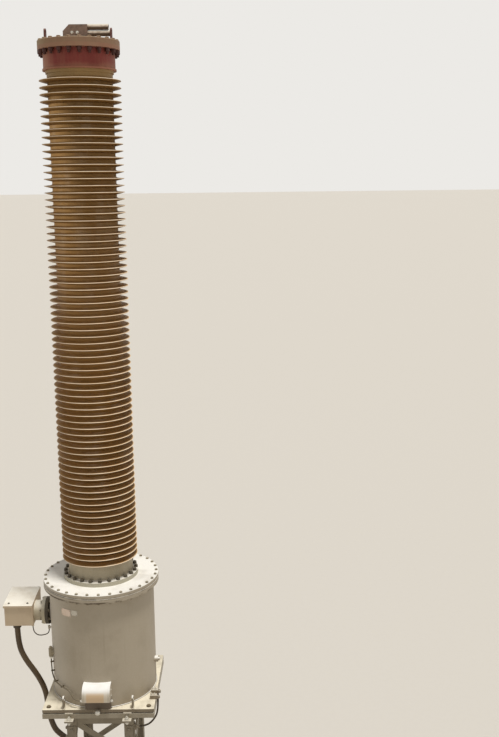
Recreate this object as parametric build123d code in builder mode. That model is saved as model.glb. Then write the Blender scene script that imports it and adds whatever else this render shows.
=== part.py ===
from build123d import *
import math
import os

# High-voltage instrument transformer on a lattice pedestal. Millimetres, +Z up.
# The origin lies on the insulator's axis, at the underside of the concrete footing.
# +X is the conductor side, -X the terminal box side, and -Y the front with the gas monitor.

os.makedirs("parts", exist_ok=True)

# Working gaps
curve_gap = 0.3
bar_end_gap = 10.0

# Footing
footing_margin = 115.0
footing_height = 250.0
footing_bevel = 16.0

# Lattice pedestal
column_width = 500.0
column_depth = 680.0
column_height = 2018.0
leg_flange = 70.0
leg_thickness = 7.0
leg_root_radius = 8.0
foot_plate_side = 160.0
foot_plate_thickness = 18.0
foot_plate_margin = 64.0
gusset_height = 260.0
gusset_reach = 56.0
gusset_thickness = 10.0
gusset_toe = 20.0
cap_plate_width = 66.0
cap_plate_reach = 120.0
cap_plate_tail = 44.0
cap_plate_thickness = 12.0
head_plate_drop = 100.0
head_plate_length = 210.0
splice_height = 985.0
splice_plate_length = 300.0
splice_plate_width = 62.0
splice_plate_thickness = 8.0
lacing_width = 45.0
lacing_thickness = 6.0
front_bars_per_tier = 3
side_bars_per_tier = 2
lacing_gauge = 40.0
strut_height = 50.0
strut_offset = 60.0

# Frame and plate under the tank
plate_margin = 20.0
plate_thickness = 24.0
frame_height = 38.0
frame_flange = 44.0
frame_wall = 6.0
cross_beam_width = 60.0
pad_thickness = 10.0
pad_length = 60.0
pad_width = 36.0
lug_height = 96.0
lug_depth = 46.0
lug_thickness = 12.0
lug_offset = 260.0
lug_hole_radius = 13.0
lug_margin = 6.0

# Tank
tank_radius = 400.0
tank_wall = 8.0
tank_height = 852.0
rim_overhang = 40.0
rim_flange_thickness = 37.0
rim_cover_thickness = 28.0
rim_bevel = 2.5
cover_bore_radius = 190.0

# Insulator and its two metal fittings
fitting_bore_radius = 190.0
bottom_flange_radius = 285.0
bottom_flange_thickness = 33.0
bottom_collar_foot_radius = 247.0
bottom_collar_top_radius = 236.0
bottom_fitting_height = 143.0
bottom_fitting_fillet = 12.0
insulator_bore_radius = 196.0
insulator_core_radius = 227.5
shed_radius = 286.0
shed_pitch = 48.0
shed_count = 74
shed_rise = 15.0
shed_undercut = 9.0
first_shed_offset = 18.0
last_shed_margin = 17.0
top_collar_radius = 229.0
top_collar_ring_radius = 237.0
top_collar_ring_height = 20.0
top_fitting_height = 48.0

# Red head and what stands on it
cap_body_radius = 250.0
cap_body_height = 138.0
cap_lip_radius = 257.0
cap_lip_height = 12.0
head_flange_radius = 285.0
head_flange_thickness = 26.0
head_lid_thickness = 36.0
head_bore_radius = 190.0
lid_lug_offset = 230.0
lid_lug_width = 42.0
lid_lug_height = 90.0
lid_lug_thickness = 12.0
lid_lug_hole_radius = 14.0
terminal_length = 172.0
terminal_centre_x = -24.0
terminal_y = 45.0
terminal_foot_width = 126.0
terminal_foot_thickness = 16.0
terminal_height = 119.0
terminal_thickness = 52.0
terminal_corner = 44.0
keeper_thickness = 20.0
keeper_height = 70.0
sleeve_radius = 20.0
sleeve_bore_radius = 13.5
sleeve_spacing = 42.0
sleeve_upper_length = 145.0
sleeve_lower_length = 165.0
sleeve_top_margin = 17.0

# Terminal box on the tank's left
box_width = 216.0
box_front = -110.0
box_back = 192.0
box_back_height = 183.0
box_front_height = 163.0
box_fold_y = 95.0
hood_overhang = 8.0
hood_skirt = 14.0
hood_sheet = 3.0
neck_drop = 241.0
neck_length = 89.0
neck_radius = 78.0
neck_bore_radius = 66.0
neck_flange_radius = 105.0
neck_flange_thickness = 25.0
nozzle_reach = 35.0

# Conduit from the box to the ground
conduit_radius = 22.5
gland_radius = 31.0
gland_nut_radius = 36.0
gland_length = 34.0
gland_nut_length = 12.0
conduit_exit_inset = 79.0
conduit_exit_y = -55.0
conduit_standoff = 92.0
conduit_lead = 95.0
plate_clearance = 56.0
edge_drop = 63.0
duct_radius = 36.0
duct_height = 110.0
duct_gap = 20.0
duct_y = 92.0
clip_spacing = 470.0
clip_ring_radius = 30.0
clip_ring_height = 30.0
clip_arm_thickness = 8.0

# Small parts round the tank
monitor_block_width = 190.0
monitor_block_depth = 60.0
monitor_block_front_margin = 3.0
monitor_block_height = 101.0
monitor_height = 109.0
hood_width = 206.0
hood_projection = 80.0
hood_metal = 3.0
hood_recess = 8.0
hood_crown_radius = 80.0
gauge_radius = 34.0
gauge_depth = 46.0
gauge_neck_radius = 14.0
gauge_neck_length = 25.0
gauge_height = 40.0
ball_radius = 21.0
ball_stem_radius = 9.0
ball_stem_length = 12.0
valve_angle = 203.0
valve_height = 340.0
valve_body_radius = 17.0
valve_body_length = 64.0
valve_cap_radius = 11.0
valve_cap_length = 14.0
valve_boss_radius = 22.0
valve_line_gap = 20.0
gas_tube_radius = 5.0
union_radius = 11.0
union_length = 16.0
union_height = 62.0
union_margin = 5.0
side_boss_radius = 24.0
side_boss_length = 24.0
side_boss_y = -40.0
side_boss_height = 210.0
side_plug_radius = 14.0
side_plug_length = 12.0
clamp_length = 60.0
clamp_width = 34.0
clamp_height = 30.0
clamp_ring_radius = 15.0
clamp_ring_height = 20.0
clamp_ring_lift = 4.0
clamp_ys = (-265.0, -185.0)
lug_pad_side = 40.0
lug_pad_thickness = 8.0
lug_barrel_radius = 12.0
lug_barrel_length = 26.0
lug_barrel_depth = 22.0
earth_lug_drop = 126.0
earth_lead_radius = 7.0
earth_lead_gap = 10.0
bond_wire_radius = 4.0
bond_stud_radius = 9.0
bond_stud_length = 24.0
bond_neck_radius = 6.0
bond_y = -60.0
bond_inset = 14.0
bond_drop = 48.0

# Heights of the stack, from the ground up
footing_top = footing_height
leg_foot = footing_top + foot_plate_thickness
leg_top = footing_top + column_height - cap_plate_thickness
frame_bottom = footing_top + column_height
pad_bottom = frame_bottom + frame_height
plate_bottom = pad_bottom + pad_thickness
plate_top = plate_bottom + plate_thickness
shell_top = plate_top + tank_height
cover_bottom = shell_top + rim_flange_thickness
cover_top = cover_bottom + rim_cover_thickness
insulator_bottom = cover_top + bottom_fitting_height
insulator_top = insulator_bottom + first_shed_offset + (shed_count - 1) * shed_pitch + last_shed_margin
cap_bottom = insulator_top + top_fitting_height
lid_bottom = cap_bottom + cap_body_height + head_flange_thickness
lid_top = lid_bottom + head_lid_thickness

# Sizes that follow from the driving ones
half_width = column_width / 2
half_depth = column_depth / 2
half_plate = tank_radius + plate_margin
plate_side = 2 * half_plate
rim_radius = tank_radius + rim_overhang
neck_joint_x = -tank_radius - nozzle_reach
box_right = neck_joint_x - neck_length
box_left = box_right - box_width
neck_z = shell_top - neck_drop
box_bottom = neck_z - neck_radius
splice_middle = leg_foot + splice_height


def bend_radii(route):
    """Radii of the arcs at a route's inner points: 0.45 of the shorter run over tan of half the turn."""
    radii = []
    for before, here, after in zip(route, route[1:], route[2:]):
        run_in = Vector(*here) - Vector(*before)
        run_out = Vector(*after) - Vector(*here)
        half_turn = math.radians(run_in.get_angle(run_out)) / 2
        radii.append(0.45 * min(run_in.length, run_out.length) / math.tan(half_turn))
    return radii


def report_cord(name, route, radius, solid):
    """Print a cord's tightest arc and compare its volume with its section times its length."""
    radii = bend_radii(route)
    path = FilletPolyline(*route, radius=radii)
    swept = math.pi * radius**2 * path.length
    print(f"{name}: length {path.length:.0f}, radii {[round(r) for r in radii]}")
    print(f"{name}: volume {solid.volume:.0f} against {swept:.0f}")


def on_tank(angle, radius, z):
    """A point at an angle round the tank's axis, counted from +X, at a radius and a height."""
    turn = math.radians(angle)
    return (radius * math.cos(turn), radius * math.sin(turn), z)


# Concrete footing
with BuildPart() as footing:
    Box(
        column_width + 2 * footing_margin,
        column_depth + 2 * footing_margin,
        footing_height,
        align=(Align.CENTER, Align.CENTER, Align.MIN),
    )
    top_edges = footing.edges().group_by(Axis.Z)[-1]
    chamfer(top_edges + footing.edges().filter_by(Axis.Z), footing_bevel)

footing.part.label = "footing"
export_step(footing.part, "parts/footing.step")

# Foot plates with their sloped gussets, one set under each leg
foot_x = half_width - foot_plate_side / 2 + foot_plate_margin
foot_y = half_depth - foot_plate_side / 2 + foot_plate_margin


def gusset_slope(heel):
    """Outline of a gusset that widens from a leg's face, at a heel distance, down to the foot plate."""
    return [
        (heel, leg_foot),
        (heel + gusset_reach, leg_foot),
        (heel + gusset_reach, leg_foot + gusset_toe),
        (heel + gusset_toe / 2, leg_foot + gusset_height),
        (heel, leg_foot + gusset_height),
    ]


with BuildPart() as leg_feet:
    with Locations((foot_x, foot_y, footing_top)):
        Box(
            foot_plate_side,
            foot_plate_side,
            foot_plate_thickness,
            align=(Align.CENTER, Align.CENTER, Align.MIN),
        )
    with BuildSketch(Plane.XZ.offset(leg_flange / 2 - half_depth)):
        with BuildLine():
            Polyline(*gusset_slope(half_width), close=True)
        make_face()
    extrude(amount=gusset_thickness / 2, both=True)
    with BuildSketch(Plane.YZ.offset(half_width - leg_flange / 2)):
        with BuildLine():
            Polyline(*gusset_slope(half_depth), close=True)
        make_face()
    extrude(amount=gusset_thickness / 2, both=True)
    mirror(about=Plane.XZ)
    mirror(about=Plane.YZ)

leg_feet.part.label = "leg_feet"
export_step(leg_feet.part, "parts/leg_feet.step")

# Legs of rolled angle, heels outward, a pair at the front and a pair at the back
for row, side_y in {"front": -1, "back": 1}.items():
    heel_y = side_y * half_depth
    toe_y = heel_y - side_y * leg_flange
    inner_y = heel_y - side_y * leg_thickness
    inner_x = half_width - leg_thickness
    toe_x = half_width - leg_flange
    with BuildPart() as legs:
        with BuildSketch(Plane.XY.offset(leg_foot)) as angle_section:
            with BuildLine():
                Polyline(
                    (half_width, heel_y),
                    (toe_x, heel_y),
                    (toe_x, inner_y),
                    (inner_x, inner_y),
                    (inner_x, toe_y),
                    (half_width, toe_y),
                    close=True,
                )
            make_face()
            root = angle_section.vertices().sort_by_distance((inner_x, inner_y, leg_foot))[0]
            fillet(root, leg_root_radius)
        extrude(amount=leg_top - leg_foot)
        mirror(about=Plane.YZ)
    legs.part.label = f"legs_{row}"
    export_step(legs.part, f"parts/legs_{row}.step")

# Cap plates between the legs and the frame, with bolted tails that stand out past the frame
cap_outer = half_plate + cap_plate_tail
cap_inner = half_depth - cap_plate_reach
cap_x = half_width - cap_plate_width / 2
with BuildPart() as cap_plates:
    with Locations((cap_x, (cap_inner + cap_outer) / 2, leg_top)):
        Box(
            cap_plate_width,
            cap_outer - cap_inner,
            cap_plate_thickness,
            align=(Align.CENTER, Align.CENTER, Align.MIN),
        )
    mirror(about=Plane.XZ)
    mirror(about=Plane.YZ)

cap_plates.part.label = "cap_plates"
export_step(cap_plates.part, "parts/cap_plates.step")

# Lacing of each side, drawn as seen from outside: struts and zigzag bars that share their end bolts
tiers = (
    (leg_foot + strut_offset, splice_middle - strut_offset),
    (splice_middle + strut_offset, leg_top - strut_offset),
)
front_reach = half_width - lacing_gauge
side_reach = half_depth - lacing_gauge
lacings = {
    "front": (Plane.XZ.offset(half_depth - leg_thickness), -1, front_reach, front_bars_per_tier),
    "back": (Plane.XZ.offset(leg_thickness - half_depth), 1, front_reach, front_bars_per_tier),
    "right": (Plane.YZ.offset(half_width - leg_thickness), -1, side_reach, side_bars_per_tier),
    "left": (Plane.YZ.offset(leg_thickness - half_width), 1, side_reach, side_bars_per_tier),
}
for side, (side_plane, inward, reach, bar_count) in lacings.items():
    with BuildPart() as bracing:
        with BuildSketch(side_plane):
            for low, high in tiers:
                with Locations((0, low), (0, high)):
                    SlotCenterToCenter(2 * reach, strut_height)
                rise = (high - low) / bar_count
                slope = math.degrees(math.atan2(rise, 2 * reach))
                for index in range(bar_count):
                    lean = -slope if index % 2 == 0 else slope
                    with Locations(Location((0, low + (index + 0.5) * rise), (0, 0, lean))):
                        SlotCenterToCenter(math.hypot(rise, 2 * reach), lacing_width)
        extrude(amount=inward * lacing_thickness)
    bracing.part.label = f"bracing_{side}"
    export_step(bracing.part, f"parts/bracing_{side}.step")

# Cover plates on the outer faces of the legs: splices half way up and short plates below the caps
splice_x = half_width - leg_flange / 2
splice_y = half_depth - leg_flange / 2
head_plate_middle = leg_top - head_plate_drop - head_plate_length / 2
with BuildPart() as splice_plates:
    for middle, length in ((splice_middle, splice_plate_length), (head_plate_middle, head_plate_length)):
        with Locations((half_width, splice_y, middle)):
            Box(
                splice_plate_thickness,
                splice_plate_width,
                length,
                align=(Align.MIN, Align.CENTER, Align.CENTER),
            )
        with Locations((splice_x, half_depth, middle)):
            Box(
                splice_plate_width,
                splice_plate_thickness,
                length,
                align=(Align.CENTER, Align.MIN, Align.CENTER),
            )
    mirror(about=Plane.XZ)
    mirror(about=Plane.YZ)

splice_plates.part.label = "splice_plates"
export_step(splice_plates.part, "parts/splice_plates.step")

# Support frame of channels, open side inward, with two beams over the column
beam_reach = half_plate - frame_wall
beam_centre = half_width - cross_beam_width / 2
with BuildPart() as support_frame:
    with BuildSketch(Plane.XY.offset(frame_bottom)):
        Rectangle(plate_side, plate_side)
        Rectangle(plate_side - 2 * frame_flange, plate_side - 2 * frame_flange, mode=Mode.SUBTRACT)
    extrude(amount=frame_wall)
    with BuildSketch(Plane.XY.offset(frame_bottom)):
        Rectangle(plate_side, plate_side)
        Rectangle(2 * beam_reach, 2 * beam_reach, mode=Mode.SUBTRACT)
    extrude(amount=frame_height)
    with BuildSketch(Plane.XY.offset(pad_bottom)):
        Rectangle(plate_side, plate_side)
        Rectangle(plate_side - 2 * frame_flange, plate_side - 2 * frame_flange, mode=Mode.SUBTRACT)
    extrude(amount=-frame_wall)
    with Locations((0, 0, frame_bottom)):
        with GridLocations(2 * beam_centre, 1, 2, 1):
            Box(
                cross_beam_width,
                2 * beam_reach,
                frame_height,
                align=(Align.CENTER, Align.CENTER, Align.MIN),
            )

support_frame.part.label = "support_frame"
export_step(support_frame.part, "parts/support_frame.step")

# Packing pads that leave a shadow gap under the base plate
pad_line = half_plate - pad_width / 2
with BuildPart() as packing_pads:
    with Locations((0, 0, pad_bottom)):
        with GridLocations(2 * beam_centre, 2 * pad_line, 2, 2):
            Box(pad_length, pad_width, pad_thickness, align=(Align.CENTER, Align.CENTER, Align.MIN))
        with GridLocations(2 * pad_line, 2 * beam_centre, 2, 2):
            Box(pad_width, pad_length, pad_thickness, align=(Align.CENTER, Align.CENTER, Align.MIN))

packing_pads.part.label = "packing_pads"
export_step(packing_pads.part, "parts/packing_pads.step")

# Base plate
with BuildPart() as base_plate:
    with Locations((0, 0, plate_bottom)):
        Box(plate_side, plate_side, plate_thickness, align=(Align.CENTER, Align.CENTER, Align.MIN))
    chamfer(base_plate.edges().filter_by(Axis.Z), lug_margin)

base_plate.part.label = "base_plate"
export_step(base_plate.part, "parts/base_plate.step")

# Upright lifting lugs on the front and back edges of the plate
lug_back = half_plate - lug_margin - lug_depth
with BuildPart() as plate_lugs:
    with BuildSketch(Plane.YZ.offset(lug_offset - lug_thickness / 2)) as lug_face:
        with BuildLine():
            lug_foot = Line((lug_back, plate_top), (lug_back + lug_depth, plate_top))
            lug_front = Line(lug_foot @ 1, (lug_back + lug_depth, plate_top + lug_height - lug_depth / 2))
            lug_round = TangentArc(
                lug_front @ 1, (lug_back, plate_top + lug_height - lug_depth / 2), tangent=lug_front % 1
            )
            Line(lug_round @ 1, lug_foot @ 0)
        make_face()
        with Locations((lug_back + lug_depth / 2, plate_top + lug_height - lug_depth / 2)):
            Circle(lug_hole_radius, mode=Mode.SUBTRACT)
    extrude(amount=lug_thickness)
    mirror(about=Plane.YZ)
    mirror(about=Plane.XZ)

plate_lugs.part.label = "plate_lugs"
export_step(plate_lugs.part, "parts/plate_lugs.step")

# Tank shell, its flange and its bolted cover
with BuildPart() as tank_shell:
    with BuildSketch(Plane.XY.offset(plate_top)):
        Circle(tank_radius)
        Circle(tank_radius - tank_wall, mode=Mode.SUBTRACT)
    extrude(amount=tank_height)

tank_shell.part.label = "tank_shell"
export_step(tank_shell.part, "parts/tank_shell.step")

with BuildPart() as tank_flange:
    with BuildSketch(Plane.XY.offset(shell_top)):
        Circle(rim_radius)
        Circle(tank_radius - tank_wall, mode=Mode.SUBTRACT)
    extrude(amount=rim_flange_thickness)
    rim_edges = tank_flange.edges().filter_by(GeomType.CIRCLE).sort_by(SortBy.RADIUS)[-2:]
    chamfer(rim_edges, rim_bevel)

tank_flange.part.label = "tank_flange"
export_step(tank_flange.part, "parts/tank_flange.step")

with BuildPart() as tank_cover:
    with BuildSketch(Plane.XY.offset(cover_bottom)):
        Circle(rim_radius)
        Circle(cover_bore_radius, mode=Mode.SUBTRACT)
    extrude(amount=rim_cover_thickness)
    rim_edges = tank_cover.edges().filter_by(GeomType.CIRCLE).sort_by(SortBy.RADIUS)[-2:]
    chamfer(rim_edges, rim_bevel)

tank_cover.part.label = "tank_cover"
export_step(tank_cover.part, "parts/tank_cover.step")

# Cast fitting under the insulator: a bolted flange and a tapering collar
collar_foot = cover_top + bottom_flange_thickness
with BuildPart() as bottom_fitting:
    with BuildSketch(Plane.XZ) as fitting_section:
        with BuildLine():
            Polyline(
                (fitting_bore_radius, cover_top),
                (bottom_flange_radius, cover_top),
                (bottom_flange_radius, collar_foot),
                (bottom_collar_foot_radius, collar_foot),
                (bottom_collar_top_radius, insulator_bottom),
                (fitting_bore_radius, insulator_bottom),
                close=True,
            )
        make_face()
        inner_corner = fitting_section.vertices().sort_by_distance((bottom_collar_foot_radius, collar_foot))[0]
        fillet(inner_corner, bottom_fitting_fillet)
    revolve(axis=Axis.Z)

bottom_fitting.part.label = "bottom_fitting"
export_step(bottom_fitting.part, "parts/bottom_fitting.step")

# Insulator: a tube with one revolved outline of thin sloping sheds
outline = [(insulator_bore_radius, insulator_bottom), (insulator_core_radius, insulator_bottom)]
for index in range(shed_count):
    rim_z = insulator_bottom + first_shed_offset + index * shed_pitch
    outline.append((insulator_core_radius, rim_z - shed_undercut))
    outline.append((shed_radius, rim_z))
    outline.append((insulator_core_radius, rim_z + shed_rise))
outline += [(insulator_core_radius, insulator_top), (insulator_bore_radius, insulator_top)]

with BuildPart() as insulator:
    with BuildSketch(Plane.XZ):
        with BuildLine():
            Polyline(*outline, close=True)
        make_face()
    revolve(axis=Axis.Z)

insulator.part.label = "insulator"
export_step(insulator.part, "parts/insulator.step")

# Cast fitting over the insulator
ring_bottom = cap_bottom - top_collar_ring_height
with BuildPart() as top_fitting:
    with BuildSketch(Plane.XZ):
        with BuildLine():
            Polyline(
                (fitting_bore_radius, insulator_top),
                (top_collar_radius, insulator_top),
                (top_collar_radius, ring_bottom),
                (top_collar_ring_radius, ring_bottom),
                (top_collar_ring_radius, cap_bottom),
                (fitting_bore_radius, cap_bottom),
                close=True,
            )
        make_face()
    revolve(axis=Axis.Z)

top_fitting.part.label = "top_fitting"
export_step(top_fitting.part, "parts/top_fitting.step")

# Red head: a drum with a lip below and a flange above, closed by a lid
flange_bottom = cap_bottom + cap_body_height
with BuildPart() as head_cap:
    with BuildSketch(Plane.XZ):
        with BuildLine():
            Polyline(
                (head_bore_radius, cap_bottom),
                (cap_lip_radius, cap_bottom),
                (cap_lip_radius, cap_bottom + cap_lip_height),
                (cap_body_radius, cap_bottom + cap_lip_height),
                (cap_body_radius, flange_bottom),
                (head_flange_radius, flange_bottom),
                (head_flange_radius, lid_bottom),
                (head_bore_radius, lid_bottom),
                close=True,
            )
        make_face()
    revolve(axis=Axis.Z)

head_cap.part.label = "head_cap"
export_step(head_cap.part, "parts/head_cap.step")

with BuildPart() as head_lid:
    with Locations((0, 0, lid_bottom)):
        Cylinder(head_flange_radius, head_lid_thickness, align=(Align.CENTER, Align.CENTER, Align.MIN))
    chamfer(head_lid.edges().group_by(Axis.Z)[-1], rim_bevel)

head_lid.part.label = "head_lid"
export_step(head_lid.part, "parts/head_lid.step")

# Two lifting lugs on the lid
with BuildPart() as lid_lugs:
    with BuildSketch(Plane.YZ.offset(lid_lug_offset)):
        with BuildLine():
            lug_foot = Line((-lid_lug_width / 2, lid_top), (lid_lug_width / 2, lid_top))
            lug_side = Line(lug_foot @ 1, (lid_lug_width / 2, lid_top + lid_lug_height - lid_lug_width / 2))
            lug_round = TangentArc(
                lug_side @ 1,
                (-lid_lug_width / 2, lid_top + lid_lug_height - lid_lug_width / 2),
                tangent=lug_side % 1,
            )
            Line(lug_round @ 1, lug_foot @ 0)
        make_face()
        with Locations((0, lid_top + lid_lug_height - lid_lug_width / 2)):
            Circle(lid_lug_hole_radius, mode=Mode.SUBTRACT)
    extrude(amount=lid_lug_thickness / 2, both=True)
    mirror(about=Plane.YZ)

lid_lugs.part.label = "lid_lugs"
export_step(lid_lugs.part, "parts/lid_lugs.step")

# Terminal block with its keeper plate and two conductor sleeves
terminal_top = lid_top + terminal_height
terminal_left = terminal_centre_x - terminal_length / 2
terminal_right = terminal_centre_x + terminal_length / 2
foot_top = lid_top + terminal_foot_thickness
with BuildPart() as terminal_block:
    with Locations((terminal_centre_x, terminal_y, lid_top)):
        Box(
            terminal_length,
            terminal_foot_width,
            terminal_foot_thickness,
            align=(Align.CENTER, Align.CENTER, Align.MIN),
        )
    with BuildSketch(Plane.XZ.offset(-terminal_y)):
        with BuildLine():
            Polyline(
                (terminal_left, lid_top),
                (terminal_right, lid_top),
                (terminal_right, terminal_top),
                (terminal_left + terminal_corner, terminal_top),
                (terminal_left, terminal_top - terminal_corner),
                close=True,
            )
        make_face()
    extrude(amount=terminal_thickness / 2, both=True)

terminal_block.part.label = "terminal_block"
export_step(terminal_block.part, "parts/terminal_block.step")

with BuildPart() as terminal_keeper:
    with BuildSketch(Plane.XZ.offset(-terminal_y - terminal_thickness / 2)):
        with Locations((terminal_centre_x, foot_top + keeper_height / 2)):
            RectangleRounded(terminal_length - 2 * terminal_corner, keeper_height, terminal_foot_thickness / 2)
    extrude(amount=-keeper_thickness)

terminal_keeper.part.label = "terminal_keeper"
export_step(terminal_keeper.part, "parts/terminal_keeper.step")

upper_sleeve_z = terminal_top - sleeve_top_margin
sleeves = (
    (upper_sleeve_z, sleeve_upper_length),
    (upper_sleeve_z - sleeve_spacing, sleeve_lower_length),
)
with BuildPart() as conductor_sleeves:
    for sleeve_z, sleeve_length in sleeves:
        with BuildSketch(Plane.YZ.offset(terminal_right)):
            with Locations((terminal_y, sleeve_z)):
                Circle(sleeve_radius)
                Circle(sleeve_bore_radius, mode=Mode.SUBTRACT)
        extrude(amount=sleeve_length)

conductor_sleeves.part.label = "conductor_sleeves"
export_step(conductor_sleeves.part, "parts/conductor_sleeves.step")

# Nozzle on the tank wall and the neck of the terminal box
nozzle_flange_x = neck_joint_x + neck_flange_thickness
with BuildPart() as tank_nozzle:
    with BuildSketch(Plane.YZ.offset(neck_joint_x)):
        with Locations((0, neck_z)):
            Circle(neck_flange_radius)
    extrude(amount=neck_flange_thickness)
    with BuildSketch(Plane.YZ.offset(nozzle_flange_x)):
        with Locations((0, neck_z)):
            Circle(neck_radius)
    extrude(amount=tank_radius + nozzle_flange_x + neck_radius)
    with BuildSketch(Plane.YZ.offset(neck_joint_x)):
        with Locations((0, neck_z)):
            Circle(neck_bore_radius)
    extrude(amount=tank_radius, mode=Mode.SUBTRACT)
    with BuildSketch(Plane.XY.offset(plate_top)):
        Circle(tank_radius + curve_gap)
    extrude(amount=tank_height, mode=Mode.SUBTRACT)

tank_nozzle.part.label = "tank_nozzle"
export_step(tank_nozzle.part, "parts/tank_nozzle.step")

with BuildPart() as box_neck:
    with BuildSketch(Plane.YZ.offset(neck_joint_x)):
        with Locations((0, neck_z)):
            Circle(neck_flange_radius)
    extrude(amount=-neck_flange_thickness)
    with BuildSketch(Plane.YZ.offset(box_right)):
        with Locations((0, neck_z)):
            Circle(neck_radius)
    extrude(amount=neck_joint_x - box_right)
    with BuildSketch(Plane.YZ.offset(box_right)):
        with Locations((0, neck_z)):
            Circle(neck_bore_radius)
    extrude(amount=neck_joint_x - box_right, mode=Mode.SUBTRACT)

box_neck.part.label = "box_neck"
export_step(box_neck.part, "parts/box_neck.step")

# Terminal box housing and its folded sheet hood
box_back_top = box_bottom + box_back_height
box_front_top = box_bottom + box_front_height

with BuildPart() as box_housing:
    with BuildSketch(Plane.YZ.offset(box_left)):
        with BuildLine():
            Polyline(
                (box_front, box_bottom),
                (box_back, box_bottom),
                (box_back, box_back_top),
                (box_fold_y, box_back_top),
                (box_front, box_front_top),
                close=True,
            )
        make_face()
    extrude(amount=box_width)
    with Locations((box_right - bond_inset, bond_y, box_bottom)):
        Cylinder(bond_stud_radius, bond_stud_length, align=(Align.CENTER, Align.CENTER, Align.MAX))

box_housing.part.label = "box_housing"
export_step(box_housing.part, "parts/box_housing.step")

hood_front = box_front - hood_overhang
hood_back = box_back + hood_overhang
hood_left = box_left - hood_overhang
hood_reach = box_right - hood_left
with BuildPart() as box_hood:
    with BuildSketch(Plane.YZ.offset(hood_left)):
        with BuildLine():
            Polyline(
                (hood_front, box_front_top - hood_skirt),
                (hood_back, box_front_top - hood_skirt),
                (hood_back, box_back_top + hood_sheet),
                (box_fold_y, box_back_top + hood_sheet),
                (hood_front, box_front_top + hood_sheet),
                close=True,
            )
        make_face()
    extrude(amount=hood_reach)
    with BuildSketch(Plane.YZ.offset(hood_left + hood_sheet)):
        with BuildLine():
            Polyline(
                (hood_front + hood_sheet, box_front_top - hood_skirt),
                (hood_back - hood_sheet, box_front_top - hood_skirt),
                (hood_back - hood_sheet, box_back_top),
                (box_fold_y, box_back_top),
                (box_front, box_front_top),
                (hood_front + hood_sheet, box_front_top),
                close=True,
            )
        make_face()
    extrude(amount=hood_reach, mode=Mode.SUBTRACT)

box_hood.part.label = "box_hood"
export_step(box_hood.part, "parts/box_hood.step")

# Conduit, held by the gland, two stand-off clips and the duct in the ground
gland_bottom = box_bottom - gland_length
conduit_exit_x = box_left + conduit_exit_inset
conduit_run_x = -half_width - conduit_standoff
conduit_run_y = half_depth - leg_flange / 2
duct_x = -half_width - footing_margin - duct_gap - duct_radius
upper_clip = splice_middle + splice_plate_length / 2 + bar_end_gap
clip_levels = (upper_clip, upper_clip - clip_spacing)
run_top = upper_clip + clip_ring_height + conduit_lead
run_bottom = upper_clip - clip_spacing - conduit_lead
edge_x = -half_plate - plate_clearance
edge_bottom = plate_bottom - 4 * edge_drop
climb = edge_bottom - run_top

with BuildPart() as conduit_gland:
    with Locations((conduit_exit_x, conduit_exit_y, gland_bottom)):
        Cylinder(gland_radius, gland_length, align=(Align.CENTER, Align.CENTER, Align.MIN))
    with Locations((conduit_exit_x, conduit_exit_y, box_bottom - gland_nut_length)):
        Cylinder(gland_nut_radius, gland_nut_length, align=(Align.CENTER, Align.CENTER, Align.MIN))

conduit_gland.part.label = "conduit_gland"
export_step(conduit_gland.part, "parts/conduit_gland.step")

conduit_route = [
    (conduit_exit_x, conduit_exit_y, gland_bottom),
    (conduit_exit_x, conduit_exit_y, gland_bottom - 145.0),
    (conduit_exit_x + 42.0, conduit_exit_y + 11.0, gland_bottom - 275.0),
    (conduit_exit_x + 126.0, conduit_exit_y + 39.0, gland_bottom - 426.0),
    (edge_x - 4.0, 14.0, plate_bottom - edge_drop),
    (edge_x + 1.0, 32.0, edge_bottom),
    (edge_x + 28.0, 66.0, run_top + 0.70 * climb),
    (edge_x + 54.0, 138.0, run_top + 0.51 * climb),
    (conduit_run_x - 26.0, 245.0, run_top + 0.27 * climb),
    (conduit_run_x, conduit_run_y, run_top),
    (conduit_run_x, conduit_run_y, run_bottom),
    (conduit_run_x - 8.0, conduit_run_y - 22.0, run_bottom - 170.0),
    (duct_x + 44.0, duct_y + 130.0, run_bottom - 320.0),
    (duct_x + 12.0, duct_y + 32.0, run_bottom - 445.0),
    (duct_x, duct_y, run_bottom - 600.0),
    (duct_x, duct_y, duct_height),
]
with BuildPart() as conduit:
    with BuildLine() as conduit_path:
        FilletPolyline(*conduit_route, radius=bend_radii(conduit_route))
    with BuildSketch(Plane(conduit_path.line @ 0, z_dir=conduit_path.line % 0)):
        Circle(conduit_radius)
    sweep()

conduit.part.label = "conduit"
export_step(conduit.part, "parts/conduit.step")
report_cord("conduit", conduit_route, conduit_radius, conduit.part)

with BuildPart() as conduit_clips:
    for level in clip_levels:
        arm_start = conduit_run_x + conduit_radius
        arm_length = -half_width - arm_start
        with BuildSketch(Plane.XY.offset(level)):
            with Locations((conduit_run_x, conduit_run_y)):
                Circle(clip_ring_radius)
            with Locations((arm_start + arm_length / 2, conduit_run_y)):
                Rectangle(arm_length, clip_arm_thickness)
            with Locations((-half_width - clip_arm_thickness / 2, conduit_run_y)):
                Rectangle(clip_arm_thickness, leg_flange - 2 * leg_thickness)
            with Locations((conduit_run_x, conduit_run_y)):
                Circle(conduit_radius + curve_gap, mode=Mode.SUBTRACT)
        extrude(amount=clip_ring_height)

conduit_clips.part.label = "conduit_clips"
export_step(conduit_clips.part, "parts/conduit_clips.step")

with BuildPart() as conduit_duct:
    with Locations((duct_x, duct_y, 0)):
        Cylinder(duct_radius, duct_height, align=(Align.CENTER, Align.CENTER, Align.MIN))
    chamfer(conduit_duct.edges().group_by(Axis.Z)[-1], rim_bevel)

conduit_duct.part.label = "conduit_duct"
export_step(conduit_duct.part, "parts/conduit_duct.step")

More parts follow.
